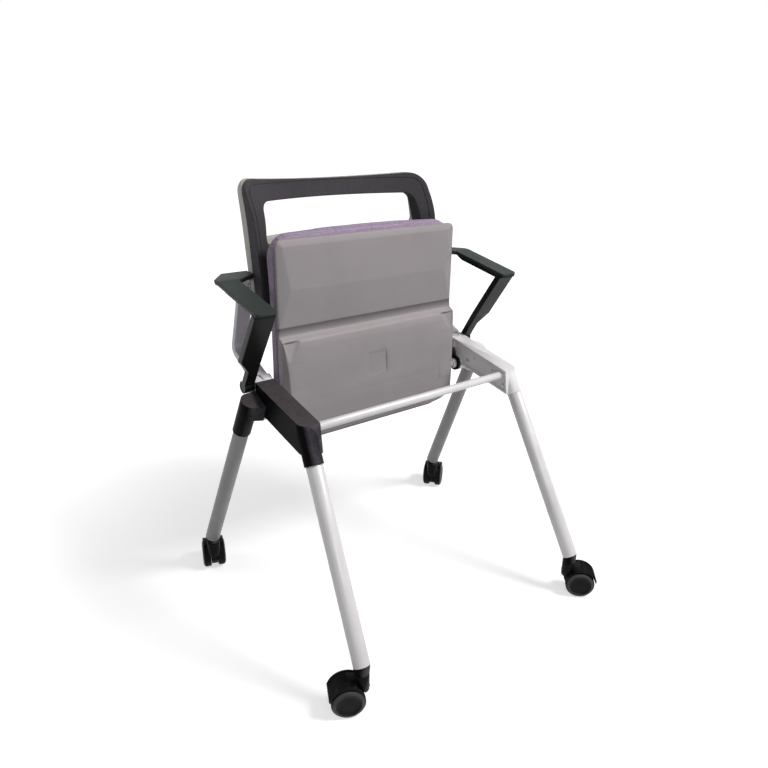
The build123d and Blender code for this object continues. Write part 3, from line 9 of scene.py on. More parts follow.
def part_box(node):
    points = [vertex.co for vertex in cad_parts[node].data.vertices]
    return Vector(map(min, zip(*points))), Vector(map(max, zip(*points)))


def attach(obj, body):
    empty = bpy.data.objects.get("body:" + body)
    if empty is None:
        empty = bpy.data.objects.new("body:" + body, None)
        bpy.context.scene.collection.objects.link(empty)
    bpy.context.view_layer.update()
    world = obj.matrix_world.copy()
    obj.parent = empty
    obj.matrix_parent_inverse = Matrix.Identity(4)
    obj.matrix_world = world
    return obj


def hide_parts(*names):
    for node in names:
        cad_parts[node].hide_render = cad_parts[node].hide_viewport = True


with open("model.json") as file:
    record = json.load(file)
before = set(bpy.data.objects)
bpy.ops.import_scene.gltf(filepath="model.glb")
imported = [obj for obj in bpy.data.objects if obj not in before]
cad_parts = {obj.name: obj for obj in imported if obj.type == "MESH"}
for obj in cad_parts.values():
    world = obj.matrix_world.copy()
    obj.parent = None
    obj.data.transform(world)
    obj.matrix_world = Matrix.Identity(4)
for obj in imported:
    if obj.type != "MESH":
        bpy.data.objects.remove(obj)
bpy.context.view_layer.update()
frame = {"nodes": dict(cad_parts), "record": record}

NODES = frame["nodes"]
MM = 0.001


# ---------------------------------------------------------------- camera, floor and light

# The camera fitted to the photograph: place in mm, turns in degrees, picture lengths in pixels
CAMERA_PLACE = (-783.76, -987.42, 949.80)
CAMERA_AZIMUTH, CAMERA_ELEVATION, CAMERA_ROLL = -36.862, 21.246, 0.857
FOCAL_LENGTH, PICTURE_WIDTH = 682.58, 768
CENTRE_RIGHT, CENTRE_UP = 0.6, -1.5
SENSOR_WIDTH = 36.0

# Each lamp's place, size, power and colour
LAMP_AIM = (0, 0, 0.5)
LAMPS = {
    "key": ((1.30, -1.65, 2.75), 0.9, 92, (1.0, 0.985, 0.97)),
    "front": ((-0.6, -2.6, 1.3), 1.6, 14, (0.98, 0.99, 1.0)),
    "rim": ((-2.1, 1.5, 1.7), 1.3, 15, (1, 1, 1)),
}
WORLD_COLOUR, WORLD_FILL = (0.96, 0.97, 1.0, 1), 0.14
WHITE = (1, 1, 1, 1)

# The floor's glow is FLOOR_GLOW up to GLOW_NEAR from the middle, and white from GLOW_FAR on
FLOOR_REACH = 40
FLOOR_COLOUR, FLOOR_ROUGHNESS = (0.55, 0.55, 0.55, 1), 0.9
FLOOR_GLOW, GLOW_NEAR, GLOW_FAR = 0.62, 0.45, 1.35


def camera():
    az, el, roll = (math.radians(a) for a in (CAMERA_AZIMUTH, CAMERA_ELEVATION, CAMERA_ROLL))
    back = Vector((math.sin(az) * math.cos(el), -math.cos(az) * math.cos(el), math.sin(el)))
    level = (-back).cross(Vector((0, 0, 1))).normalized()
    above = level.cross(-back)
    right = level * math.cos(roll) + above * math.sin(roll)
    up = above * math.cos(roll) - level * math.sin(roll)
    data = bpy.data.cameras.new("photo_camera")
    data.sensor_width = SENSOR_WIDTH
    data.sensor_fit = "HORIZONTAL"
    data.lens = FOCAL_LENGTH / PICTURE_WIDTH * SENSOR_WIDTH
    data.shift_x = CENTRE_RIGHT / PICTURE_WIDTH
    data.shift_y = CENTRE_UP / PICTURE_WIDTH
    data.clip_start = 0.05
    cam = bpy.data.objects.new("photo_camera", data)
    turned = Matrix((right, up, back)).transposed().to_4x4()
    cam.matrix_world = Matrix.Translation(Vector(CAMERA_PLACE) * MM) @ turned
    bpy.context.scene.collection.objects.link(cam)
    bpy.context.scene.camera = cam


def area_light(name, place, size, power, colour):
    data = bpy.data.lights.new(name, "AREA")
    data.shape = "DISK"
    data.size = size
    data.energy = power
    data.color = colour
    lamp = bpy.data.objects.new(name, data)
    lamp.location = place
    way = Vector(LAMP_AIM) - Vector(place)
    lamp.rotation_euler = way.to_track_quat("-Z", "Y").to_euler()
    bpy.context.scene.collection.objects.link(lamp)


def seen_rays(tree):
    """1 where a camera, glossy or transmission ray looks, so the pale surroundings show there."""
    path = tree.nodes.new("ShaderNodeLightPath")
    value = path.outputs["Is Camera Ray"]
    for kind in ("Is Glossy Ray", "Is Transmission Ray"):
        either = tree.nodes.new("ShaderNodeMath")
        either.operation = "MAXIMUM"
        tree.links.new(value, either.inputs[0])
        tree.links.new(path.outputs[kind], either.inputs[1])
        value = either.outputs[0]
    return value


def studio_world():
    """A soft dim fill for the object, and plain white where the world itself is seen."""
    world = bpy.data.worlds.new("studio")
    bpy.context.scene.world = world
    world.use_nodes = True
    tree = world.node_tree
    tree.nodes.clear()
    mix = tree.nodes.new("ShaderNodeMixShader")
    tree.links.new(seen_rays(tree), mix.inputs[0])
    for socket, (colour, strength) in enumerate(((WORLD_COLOUR, WORLD_FILL), (WHITE, 1.0)), 1):
        light = tree.nodes.new("ShaderNodeBackground")
        light.inputs["Color"].default_value = colour
        light.inputs["Strength"].default_value = strength
        tree.links.new(light.outputs[0], mix.inputs[socket])
    out = tree.nodes.new("ShaderNodeOutputWorld")
    tree.links.new(mix.outputs[0], out.inputs[0])


def studio_floor():
    r = FLOOR_REACH
    mesh = bpy.data.meshes.new("floor")
    mesh.from_pydata([(-r, -r, 0), (r, -r, 0), (r, r, 0), (-r, r, 0)], [], [(0, 1, 2, 3)])
    floor = bpy.data.objects.new("floor", mesh)
    bpy.context.scene.collection.objects.link(floor)
    mat = bpy.data.materials.new("pale_floor")
    mat.use_nodes = True
    tree = mat.node_tree
    shader = tree.nodes["Principled BSDF"]
    shader.inputs["Base Color"].default_value = FLOOR_COLOUR
    shader.inputs["Roughness"].default_value = FLOOR_ROUGHNESS
    shader.inputs["Specular IOR Level"].default_value = 0.0
    shader.inputs["Emission Color"].default_value = WHITE
    coord = tree.nodes.new("ShaderNodeTexCoord")
    far = tree.nodes.new("ShaderNodeVectorMath")
    far.operation = "LENGTH"
    tree.links.new(coord.outputs["Object"], far.inputs[0])
    spread = tree.nodes.new("ShaderNodeMapRange")
    spread.interpolation_type = "SMOOTHSTEP"
    spread.inputs["From Min"].default_value = GLOW_NEAR
    spread.inputs["From Max"].default_value = GLOW_FAR
    spread.inputs["To Min"].default_value = FLOOR_GLOW
    spread.inputs["To Max"].default_value = 1.0
    tree.links.new(far.outputs["Value"], spread.inputs["Value"])
    glow = tree.nodes.new("ShaderNodeMath")
    glow.operation = "MULTIPLY"
    tree.links.new(seen_rays(tree), glow.inputs[0])
    tree.links.new(spread.outputs[0], glow.inputs[1])
    tree.links.new(glow.outputs[0], shader.inputs["Emission Strength"])
    mesh.materials.append(mat)


def studio():
    bpy.context.scene.view_settings.view_transform = "Standard"
    studio_world()
    for name, settings in LAMPS.items():
        area_light(name, *settings)
    studio_floor()


# ---------------------------------------------------------------- materials

X, Y, Z = 0, 1, 2
BEVEL_SAMPLES = 6


def times(colour, factor):
    """A colour made lighter or darker."""
    return tuple(min(1, c * factor) for c in colour)


class Finish:
    """A node material whose colour, roughness and bump are built up step by step."""

    def __init__(self, name, colour, rough, metallic=0.0, **sockets):
        self.mat = bpy.data.materials.new(name)
        self.mat.use_nodes = True
        self.tree = self.mat.node_tree
        self.shader = self.tree.nodes["Principled BSDF"]
        self.shader.inputs["Base Color"].default_value = (*colour, 1)
        self.shader.inputs["Roughness"].default_value = rough
        self.shader.inputs["Metallic"].default_value = metallic
        for key, value in sockets.items():
            self.shader.inputs[key.replace("_", " ")].default_value = value
        self.coord = self.tree.nodes.new("ShaderNodeTexCoord")
        self.place = self.coord.outputs["Object"]
        self.first = (*colour, 1)
        self.colour = None
        self.normal = None

    def rounded(self, radius):
        """Shades the edges as if they were rounded."""
        node = self.tree.nodes.new("ShaderNodeBevel")
        node.samples = BEVEL_SAMPLES
        node.inputs["Radius"].default_value = radius
        self.normal = node.outputs[0]

    def scaled(self, x, y, z):
        """The place on the object, stretched along its axes."""
        node = self.tree.nodes.new("ShaderNodeMapping")
        node.inputs["Scale"].default_value = (x, y, z)
        self.tree.links.new(self.place, node.inputs["Vector"])
        return node.outputs[0]

    def split(self, vector, axis):
        node = self.tree.nodes.new("ShaderNodeSeparateXYZ")
        self.tree.links.new(vector, node.inputs[0])
        return node.outputs[axis]

    def along(self, axis):
        """How far along an axis of the object the surface lies."""
        return self.split(self.place, axis)

    def facing(self, axis):
        """How far the surface faces along an axis of the object, from -1 to 1."""
        return self.split(self.coord.outputs["Normal"], axis)

    def noise(self, scale, detail, place=None, distortion=0.0):
        node = self.tree.nodes.new("ShaderNodeTexNoise")
        node.inputs["Scale"].default_value = scale
        node.inputs["Detail"].default_value = detail
        node.inputs["Roughness"].default_value = 0.55
        node.inputs["Distortion"].default_value = distortion
        self.tree.links.new(place or self.place, node.inputs["Vector"])
        return node.outputs["Fac"]

    def cells(self, scale, randomness, place):
        """The distance to the nearest cell's middle."""
        node = self.tree.nodes.new("ShaderNodeTexVoronoi")
        node.inputs["Scale"].default_value = scale
        node.inputs["Randomness"].default_value = randomness
        self.tree.links.new(place, node.inputs["Vector"])
        return node.outputs["Distance"]

    def math(self, op, *values):
        node = self.tree.nodes.new("ShaderNodeMath")
        node.operation = op
        for socket, value in zip(node.inputs, values):
            if isinstance(value, (int, float)):
                socket.default_value = value
            else:
                self.tree.links.new(value, socket)
        return node.outputs[0]

    def ramp(self, value, low, high, out_low=0.0, out_high=1.0):
        node = self.tree.nodes.new("ShaderNodeMapRange")
        node.inputs["From Min"].default_value = low
        node.inputs["From Max"].default_value = high
        node.inputs["To Min"].default_value = out_low
        node.inputs["To Max"].default_value = out_high
        self.tree.links.new(value, node.inputs["Value"])
        return node.outputs[0]

    def tint(self, colour, amount):
        """Mixes a colour in by an amount from 0 to 1."""
        node = self.tree.nodes.new("ShaderNodeMix")
        node.data_type = "RGBA"
        node.inputs[6].default_value = self.first
        node.inputs[7].default_value = (*colour, 1)
        if self.colour is not None:
            self.tree.links.new(self.colour, node.inputs[6])
        self.tree.links.new(amount, node.inputs[0])
        self.colour = node.outputs[2]

    def spots(self, colour, scale, detail, low, high, most=1.0):
        """Mixes a colour in where a noise is high."""
        self.tint(colour, self.ramp(self.noise(scale, detail), low, high, 0, most))

    def bump(self, value, strength, distance):
        node = self.tree.nodes.new("ShaderNodeBump")
        node.inputs["Strength"].default_value = strength
        node.inputs["Distance"].default_value = distance
        self.tree.links.new(value, node.inputs["Height"])
        if self.normal is not None:
            self.tree.links.new(self.normal, node.inputs["Normal"])
        self.normal = node.outputs[0]

    def uneven_gloss(self, scale, detail, low, high):
        gloss = self.ramp(self.noise(scale, detail), 0.3, 0.7, low, high)
        self.tree.links.new(gloss, self.shader.inputs["Roughness"])

    def done(self):
        self.tree.links.new(self.colour, self.shader.inputs["Base Color"])
        self.tree.links.new(self.normal, self.shader.inputs["Normal"])
        return self.mat


def silver_paint(name, colour, metallic, rough):
    """Satin paint with fine flakes, dull patches and faint streaks up and down."""
    f = Finish(name, colour, rough, metallic, Specular_IOR_Level=0.4)
    f.rounded(0.0015)
    dull = times(colour, 0.82)
    f.spots(dull, 14, 3, 0.45, 0.75, 0.5)
    f.spots(times(colour, 1.18), 2600, 1, 0.55, 0.75, 0.5)
    streaks = f.noise(1, 2, f.scaled(900, 900, 60))
    f.tint(dull, f.ramp(streaks, 0.68, 0.80, 0, 0.45))
    f.uneven_gloss(30, 3, rough - 0.05, rough + 0.09)
    f.bump(f.noise(700, 2), 0.10, 0.0002)
    return f.done()


def grained(name, colour, rough, grain=1500, scuff=None, mottled=0.3, shine=0.12, edge=0.0012,
            dust_and_top_light=None, dust_and_light_facing=(0.72, 0.96), specks=True, wear_and_front_sheen=None, groove_shadow=None):
    """Moulded plastic with a spark-eroded grain.

    It may have scuffs, dust and painted light on top, wear and painted sheen in front, and a
    painted groove shadow.
    """
    f = Finish(name, colour, rough, Specular_IOR_Level=shine)
    f.rounded(edge)
    f.spots(times(colour, 1 - mottled), 7, 4, 0.40, 0.70)
    f.spots(times(colour, 1.10), 420, 3, 0.52, 0.75, 0.5)
    # Paler where the surface faces up: painted light from above, and on some plastics dust and wear
    # as well.
    if dust_and_top_light:
        top = f.ramp(f.facing(Z), *dust_and_light_facing)
        f.tint(dust_and_top_light, f.math("MULTIPLY", top, f.ramp(f.noise(16, 5), 0.25, 0.62, 0.62, 1.0)))
    if dust_and_top_light and specks:
        pale = f.ramp(f.noise(480, 3), 0.55, 0.70, 0, 0.6)
        f.tint(times(dust_and_top_light, 1.7), f.math("MULTIPLY", top, pale))
        dark = f.ramp(f.noise(150, 4), 0.56, 0.72, 0, 0.7)
        f.tint(times(dust_and_top_light, 0.4), f.math("MULTIPLY", top, dark))
    # Paler where the surface faces the front: wear from knocks, and a painted sheen.
    if wear_and_front_sheen:
        front = f.ramp(f.facing(Y), -0.72, -0.99)
        f.tint(wear_and_front_sheen, f.math("MULTIPLY", front, f.ramp(f.noise(60, 5), 0.30, 0.66, 0.35, 1.0)))
    # A darker band between two heights on the part: a painted shadow under a ledge, in its groove.
    if groove_shadow:
        low, high = groove_shadow
        height = f.along(Z)
        rising = f.ramp(height, low, high - 0.002)
        falling = f.ramp(height, high + 0.0015, high - 0.0005)
        band = f.math("MULTIPLY", f.math("MULTIPLY", rising, falling), 0.85)
        f.tint(times(colour, 0.22), band)
    if scuff:
        marks = f.noise(1, 3, f.scaled(26, 26, 260), distortion=0.6)
        f.tint(scuff, f.ramp(marks, 0.66, 0.74, 0, 0.35))
        f.spots(scuff, 900, 1, 0.70, 0.76, 0.55)
    f.uneven_gloss(9, 4, rough - 0.07, rough + 0.07)
    f.bump(f.noise(grain, 2), 0.35, 0.00025)
    return f.done()


def knit(name, colour):
    """A padded knit with a small raised cell, with painted shade in the low gaps between the cells.
    """
    f = Finish(name, colour, 0.9, Sheen_Weight=0.10, Sheen_Roughness=0.5, Specular_IOR_Level=0.2)
    cell = f.cells(245, 0.30, f.scaled(1, 1, 0.85))
    # Painted shade in the low gaps between the raised cells.
    f.tint(times(colour, 0.48), f.ramp(cell, 0.30, 0.60, 0, 0.85))
    f.spots(times(colour, 1.35), 1400, 2, 0.55, 0.8, 0.5)
    f.spots(times(colour, 0.85), 9, 3, 0.4, 0.7, 0.6)
    f.bump(cell, 0.55, -0.0008)
    f.bump(f.noise(2200, 1), 0.25, 0.0003)
    return f.done()


def weave(name, colour, glint):
    """Tight back mesh: fine ribs crossed by threads, with a painted glint on the raised threads and
    painted shade between them.
    """
    f = Finish(name, colour, 0.78, Sheen_Weight=0.06, Specular_IOR_Level=0.2)
    f.rounded(0.003)
    rows = f.math("SINE", f.math("MULTIPLY", f.along(Z), 1500))
    posts = f.math("SINE", f.math("MULTIPLY", f.along(X), 1750))
    cloth = f.math("MULTIPLY", rows, posts)
    # A painted glint on the raised threads, and painted shade in the low places between them.
    f.tint(glint, f.ramp(cloth, 0.1, 1.0, 0, 0.8))
    f.tint(times(colour, 0.5), f.ramp(cloth, 0.0, -1.0, 0, 0.6))
    f.spots(times(colour, 0.7), 8, 3, 0.4, 0.7, 0.6)
    f.bump(cloth, 0.5, 0.0005)
    return f.done()


def plywood(name, colour, grain):
    f = Finish(name, colour, 0.7)
    lines = f.noise(1, 4, f.scaled(12, 12, 160), distortion=1.5)
    f.tint(grain, f.ramp(lines, 0.4, 0.65))
    f.bump(f.noise(600, 2), 0.2, 0.0003)
    return f.done()


def looks():
    """The materials, by the record's slot names, and those of pieces with a look of their own."""
    return {
        "silver_paint": silver_paint("silver_paint", (0.66, 0.645, 0.655), 0.15, 0.36),
        # A darker copy of the silver paint for the rear legs: painted shade.
        "painted_shade_silver": silver_paint("painted_shade_silver", (0.26, 0.253, 0.257), 0.12, 0.42),
        # A lighter copy of the silver paint for the cast beams: painted light.
        "cast_paint": silver_paint("cast_paint", (0.72, 0.705, 0.71), 0.12, 0.42),
        # A darker copy of the silver paint for the back uprights: painted shade.
        "bar_paint": silver_paint("bar_paint", (0.52, 0.50, 0.54), 0.12, 0.42),
        "screw_steel": silver_paint("screw_steel", (0.45, 0.44, 0.45), 0.9, 0.32),
        "grey_plastic": grained(
            "grey_plastic", (0.285, 0.262, 0.272), 0.50, scuff=(0.36, 0.33, 0.34),
            mottled=0.10, shine=0.3, edge=0.006,
        ),
        # The seat shell: painted light where it faces up, on its top bevel and lip, and a painted
        # shadow band along its groove.
        "seat_shell_plastic": grained(
            "seat_shell_plastic", (0.262, 0.242, 0.250), 0.50, scuff=(0.33, 0.30, 0.31),
            mottled=0.10, shine=0.3, edge=0.007,
            dust_and_top_light=(0.33, 0.298, 0.305), dust_and_light_facing=(0.15, 0.70), specks=False, groove_shadow=(0.5640, 0.5795),
        ),
        "rear_grey_plastic": grained(
            "rear_grey_plastic", (0.46, 0.45, 0.42), 0.50, scuff=(0.50, 0.49, 0.46),
            mottled=0.10, shine=0.3, edge=0.003,
        ),
        # Black plastic: paler where it faces up, as dust and wear and painted light; paler where it
        # faces the front, as wear and a painted sheen.
        "black_plastic": grained(
            "black_plastic", (0.0050, 0.0047, 0.0056), 0.34, scuff=(0.022, 0.020, 0.024),
            shine=0.02, edge=0.003, dust_and_top_light=(0.072, 0.064, 0.066), wear_and_front_sheen=(0.082, 0.076, 0.090),
        ),
        "arm_black": grained("arm_plastic", (0.0045, 0.005, 0.005), 0.34, edge=0.003),
        "arm_soft": grained(
            "arm_soft", (0.026, 0.034, 0.030), 0.50, grain=2200, scuff=(0.055, 0.06, 0.057),
            edge=0.003,
        ),
        "caster_plastic": grained(
            "caster_plastic", (0.0055, 0.005, 0.006), 0.32, scuff=(0.025, 0.023, 0.024), shine=0.07,
        ),
        "wheel_black": grained(
            "caster_tread", (0.008, 0.0077, 0.008), 0.48, grain=900, scuff=(0.04, 0.035, 0.03),
            shine=0.07,
        ),
        "wheel_disc": grained(
            "wheel_disc", (0.0035, 0.0033, 0.0042), 0.30, scuff=(0.014, 0.013, 0.015),
        ),
        # A paler, glossier copy of the wheels' black: a painted highlight on the wheels' shoulders;
        # the cover screws use it too.
        "wheel_rim": grained(
            "wheel_rim", (0.045, 0.043, 0.048), 0.34, scuff=(0.09, 0.085, 0.09), shine=0.2,
        ),
        "dark_mesh": weave("ring_fabric", (0.037, 0.0345, 0.0385), (0.0851, 0.06555, 0.09625)),
        "lilac_knit": knit("lilac_knit", (0.39, 0.305, 0.42)),
        "board_ply": plywood("plywood", (0.50, 0.36, 0.22), (0.36, 0.24, 0.13)),
    }


# Nodes whose look isn't their slot's, by the start of their name
OWN_LOOKS = {
    "back_shell": "rear_grey_plastic",
    "back_frame": "dark_mesh",
    # The rear legs get the darker copy of the silver paint: painted shade.
    "rear_leg": "painted_shade_silver",
    "seat_shell": "seat_shell_plastic",
    "caster_hood": "caster_plastic",
}


def dress_nodes():
    slots = {s["node"]: s["material_slot"] for s in frame["record"]["subparts"]}
    for name, obj in NODES.items():
        own = [look for start, look in OWN_LOOKS.items() if name.startswith(start)]
        obj.data.materials.clear()
        obj.data.materials.append(LOOKS[own[0] if own else slots[name]])


# ---------------------------------------------------------------- mesh helpers

WELD_DISTANCE = 0.00002

# Rounded edges by the start of a node's name: width, segments and least angle in degrees
EDGES = {
    "caster_hood": (0.0008, 2, 30),
    "arm_pad": (0.0030, 4, 30),
    "armrest": (0.0030, 4, 30),
    "side_beam": (0.0018, 3, 30),
    "beam_cover": (0.0018, 3, 30),
    "rear_sleeve": (0.0018, 3, 30),
    "back_upright": (0.0012, 2, 30),
    "hinge_cheek": (0.0012, 2, 30),
    "back_frame": (0.0024, 3, 30),
    "back_shell": (0.0024, 3, 30),
    "seat_shell": (0.0026, 4, 12),
}
PLAIN_EDGE = (0.0004, 2, 30)
REPLACED = ("seat_cushion", "back_mesh", "caster_wheel")


def soften(obj, width, segments, angle):
    """Rounds a CAD node's edges: its split vertices are welded, then bevelled."""
    weld = obj.modifiers.new("weld", "WELD")
    weld.merge_threshold = WELD_DISTANCE
    bevel = obj.modifiers.new("round", "BEVEL")
    bevel.width = width
    bevel.segments = segments
    bevel.limit_method = "ANGLE"
    bevel.angle_limit = math.radians(angle)
    bevel.harden_normals = True


def soften_nodes():
    for name, obj in NODES.items():
        if not name.startswith(REPLACED):
            own = [edge for start, edge in EDGES.items() if name.startswith(start)]
            soften(obj, *(own[0] if own else PLAIN_EDGE))


def piece(name, verts, faces, look, body, slot):
    """A new smooth mesh piece that rides on a body."""
    mesh = bpy.data.meshes.new(name)
    mesh.from_pydata(verts, [], faces)
    mesh.validate()
    bm = bmesh.new()
    bm.from_mesh(mesh)
    bmesh.ops.recalc_face_normals(bm, faces=bm.faces)
    bm.to_mesh(mesh)
    bm.free()
    obj = bpy.data.objects.new(name, mesh)
    bpy.context.scene.collection.objects.link(obj)
    mesh.materials.append(LOOKS[look])
    for poly in mesh.polygons:
        poly.use_smooth = True
    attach(obj, body)
    return obj


def skin(rings, sides):
    """Faces between rings of vertices that follow each other in the list."""
    faces = []
    for a, b in rings:
        for k in range(sides):
            m = (k + 1) % sides
            faces.append((a * sides + k, a * sides + m, b * sides + m, b * sides + k))
    return faces


def caps(rings, sides):
    """The faces that close the first and last ring."""
    return [tuple(reversed(range(sides))), tuple((rings - 1) * sides + k for k in range(sides))]


def tube(points, radius, closed=False, flatten=1.0, up=Vector((0, 1, 0)), sides=8):
    """Vertices and faces of a tube along points, with its section flattened along up."""
    verts = []
    n = len(points)
    for i, at in enumerate(points):
        ahead = points[(i + 1) % n] if closed or i < n - 1 else at
        behind = points[i - 1] if closed or i > 0 else at
        way = (ahead - behind).normalized()
        side = way.cross(up).normalized()
        lift = side.cross(way).normalized()
        for k in range(sides):
            turn = 2 * math.pi * k / sides
            out = side * (radius * math.cos(turn))
            verts.append(at + out + lift * (radius * flatten * math.sin(turn)))
    faces = skin([(i, (i + 1) % n) for i in range(n if closed else n - 1)], sides)
    if not closed:
        faces += caps(n, sides)
    return verts, faces


def lathe(profile, place, axis, sides=24):
    """A turned form: profile is radius and height pairs, along an axis from a place."""
    axis = axis.normalized()
    side = axis.orthogonal().normalized()
    other = axis.cross(side)
    verts = []
    for radius, height in profile:
        for k in range(sides):
            t = 2 * math.pi * k / sides
            out = (side * math.cos(t) + other * math.sin(t)) * radius
            verts.append(place + axis * height + out)
    rows = len(profile)
    return verts, skin([(i, i + 1) for i in range(rows - 1)], sides) + caps(rows, sides)


def front_of(name, x, z):
    """The Y of a CAD node's front face at a point seen from the front, or None in an opening."""
    hit, place, _, _ = NODES[name].ray_cast(Vector((x, -1.0, z)), Vector((0, 1, 0)))
    return place.y if hit else None


SIDE_STEPS = 60


def rounded_loop(half, low, high, r_low, r_high, corner_steps, pull=(0.0, 0.0, 0.0)):
    """Points of a rounded rectangle seen from the front.

    Its sides, top and bottom are drawn in at their middles by the three lengths in pull.
    """
    middle = (low + high) / 2
    out = []

    def corner(cx, cz, r, start):
        for i in range(corner_steps + 1):
            t = math.radians(start + 90 * i / corner_steps)
            out.append((cx + r * math.cos(t), cz + r * math.sin(t)))

    def side(a, b):
        (ax, az), (bx, bz) = a, b
        for i in range(1, SIDE_STEPS):
            t = i / SIDE_STEPS
            bow = 4 * t * (1 - t)
            x, z = ax + (bx - ax) * t, az + (bz - az) * t
            if abs(bx - ax) < abs(bz - az):
                x -= math.copysign(bow * pull[0], x)
            elif z > middle:
                z -= bow * pull[1]
            else:
                z += bow * pull[2]
            out.append((x, z))

    corner(half - r_low, low + r_low, r_low, -90)
    side(out[-1], (half, high - r_high))
    corner(half - r_high, high - r_high, r_high, 0)
    side(out[-1], (-(half - r_high), high))
    corner(-(half - r_high), high - r_high, r_high, 90)
    side(out[-1], (-half, low + r_low))
    corner(-(half - r_low), low + r_low, r_low, 180)
    side(out[-1], (half - r_low, low))
    return out


# ---------------------------------------------------------------- seat cushion

# The cushion as it stands when the seat is up: half width, lower and upper ends
CUSHION_HALF, CUSHION_LOW, CUSHION_HIGH = 0.220, 0.342, 0.757
CUSHION_BACK, CUSHION_FRONT = 0.1064, 0.1512
# Depth from the shell and how far the edge is drawn in, in mm
CUSHION_SECTIONS = [
    (0.2, 7.0), (3.0, 3.0), (7.0, 0.6), (13.0, -1.6), (20.0, -2.2), (27.0, -1.0),
    (32.0, 2.5), (35.5, 7.0), (38.0, 13.5), (39.6, 23.0), (40.6, 38.0), (41.2, 62.0),
]
DEPTH_SHARE = 0.985
# The depth in mm over which the sides bulge, most at its middle
BULGE_DEPTH = 40
# Room that the swelling takes up, and the most that a point may travel in it
SLACK, MOST_TRAVEL = 0.0030, 0.005
LEAST_RADIUS = 0.008
CORNER_STEPS = 28

VOXEL = 0.0055
PRESSURE, SWELL_FRAMES = 4.0, 20

# Pleats: the corners' radii, how far they reach from the shell, and degrees of lean per metre
PLEAT_LOW_RADIUS, PLEAT_HIGH_RADIUS = 0.058, 0.040
PLEAT_REACH, PLEAT_LEAN = 0.034, 260
# A pleat's section: a dip with a low rise on each side
DIP_WIDTH, DIP_DEPTH = 0.0016, 0.0022
RISE_PLACE, RISE_WIDTH, RISE_HEIGHT = 0.0042, 0.0022, 0.0007

# The cover's unevenness: height and count per metre
FOLDS = ((0.0005, 26), (0.00018, 90))


def cushion_form():
    """The cushion before it swells: vertices and faces."""
    verts = []
    for depth, drawn in CUSHION_SECTIONS:
        inset = drawn * MM + SLACK
        full = math.sin(math.pi * min(1.0, depth / BULGE_DEPTH)) ** 0.7
        r_low = max(LEAST_RADIUS, 0.056 - inset * 0.3)
        r_high = max(LEAST_RADIUS, 0.030 + 0.016 * full)
        loop = rounded_loop(
            CUSHION_HALF - inset, CUSHION_LOW + inset, CUSHION_HIGH - inset, r_low, r_high,
            CORNER_STEPS, (0.0020, -0.0055 * full, -0.001 * full),
        )
        verts += [Vector((x, CUSHION_BACK + depth * MM * DEPTH_SHARE, z)) for x, z in loop]
    sides, rings = len(loop), len(CUSHION_SECTIONS)
    return verts, skin([(i, i + 1) for i in range(rings - 1)], sides) + caps(rings, sides)


def remesh(obj):
    """Gives a closed form an even mesh with its creases smoothed."""
    bpy.context.view_layer.objects.active = obj
    obj.select_set(True)
    voxels = obj.modifiers.new("voxels", "REMESH")
    voxels.mode = "VOXEL"
    voxels.voxel_size = VOXEL
    bpy.ops.object.modifier_apply(modifier=voxels.name)
    even = obj.modifiers.new("even", "SMOOTH")
    even.factor = 0.5
    even.iterations = 4
    bpy.ops.object.modifier_apply(modifier=even.name)


def swell(obj):
    """Swells a remeshed form as cloth under pressure, with each point's travel capped."""
    start = [v.co.copy() for v in obj.data.vertices]
    cloth = obj.modifiers.new("swell", "CLOTH")
    cloth.settings.quality = 6
    cloth.settings.mass = 0.25
    cloth.settings.tension_stiffness = 18
    cloth.settings.compression_stiffness = 18
    cloth.settings.shear_stiffness = 8
    cloth.settings.bending_stiffness = 1.5
    cloth.settings.use_pressure = True
    cloth.settings.uniform_pressure_force = PRESSURE
    cloth.settings.effector_weights.gravity = 0
    cloth.collision_settings.use_collision = False
    cloth.point_cache.frame_start = 1
    cloth.point_cache.frame_end = SWELL_FRAMES
    scene = bpy.context.scene
    for number in range(1, SWELL_FRAMES + 1):
        scene.frame_set(number)
    shaped = obj.evaluated_get(bpy.context.evaluated_depsgraph_get()).to_mesh()
    end = [v.co.copy() for v in shaped.vertices]
    obj.modifiers.remove(cloth)
    scene.frame_set(1)
    for vert, before, after in zip(obj.data.vertices, start, end):
        move = after - before
        if move.length > MOST_TRAVEL:
            move = move.normalized() * MOST_TRAVEL
        vert.co = before + move


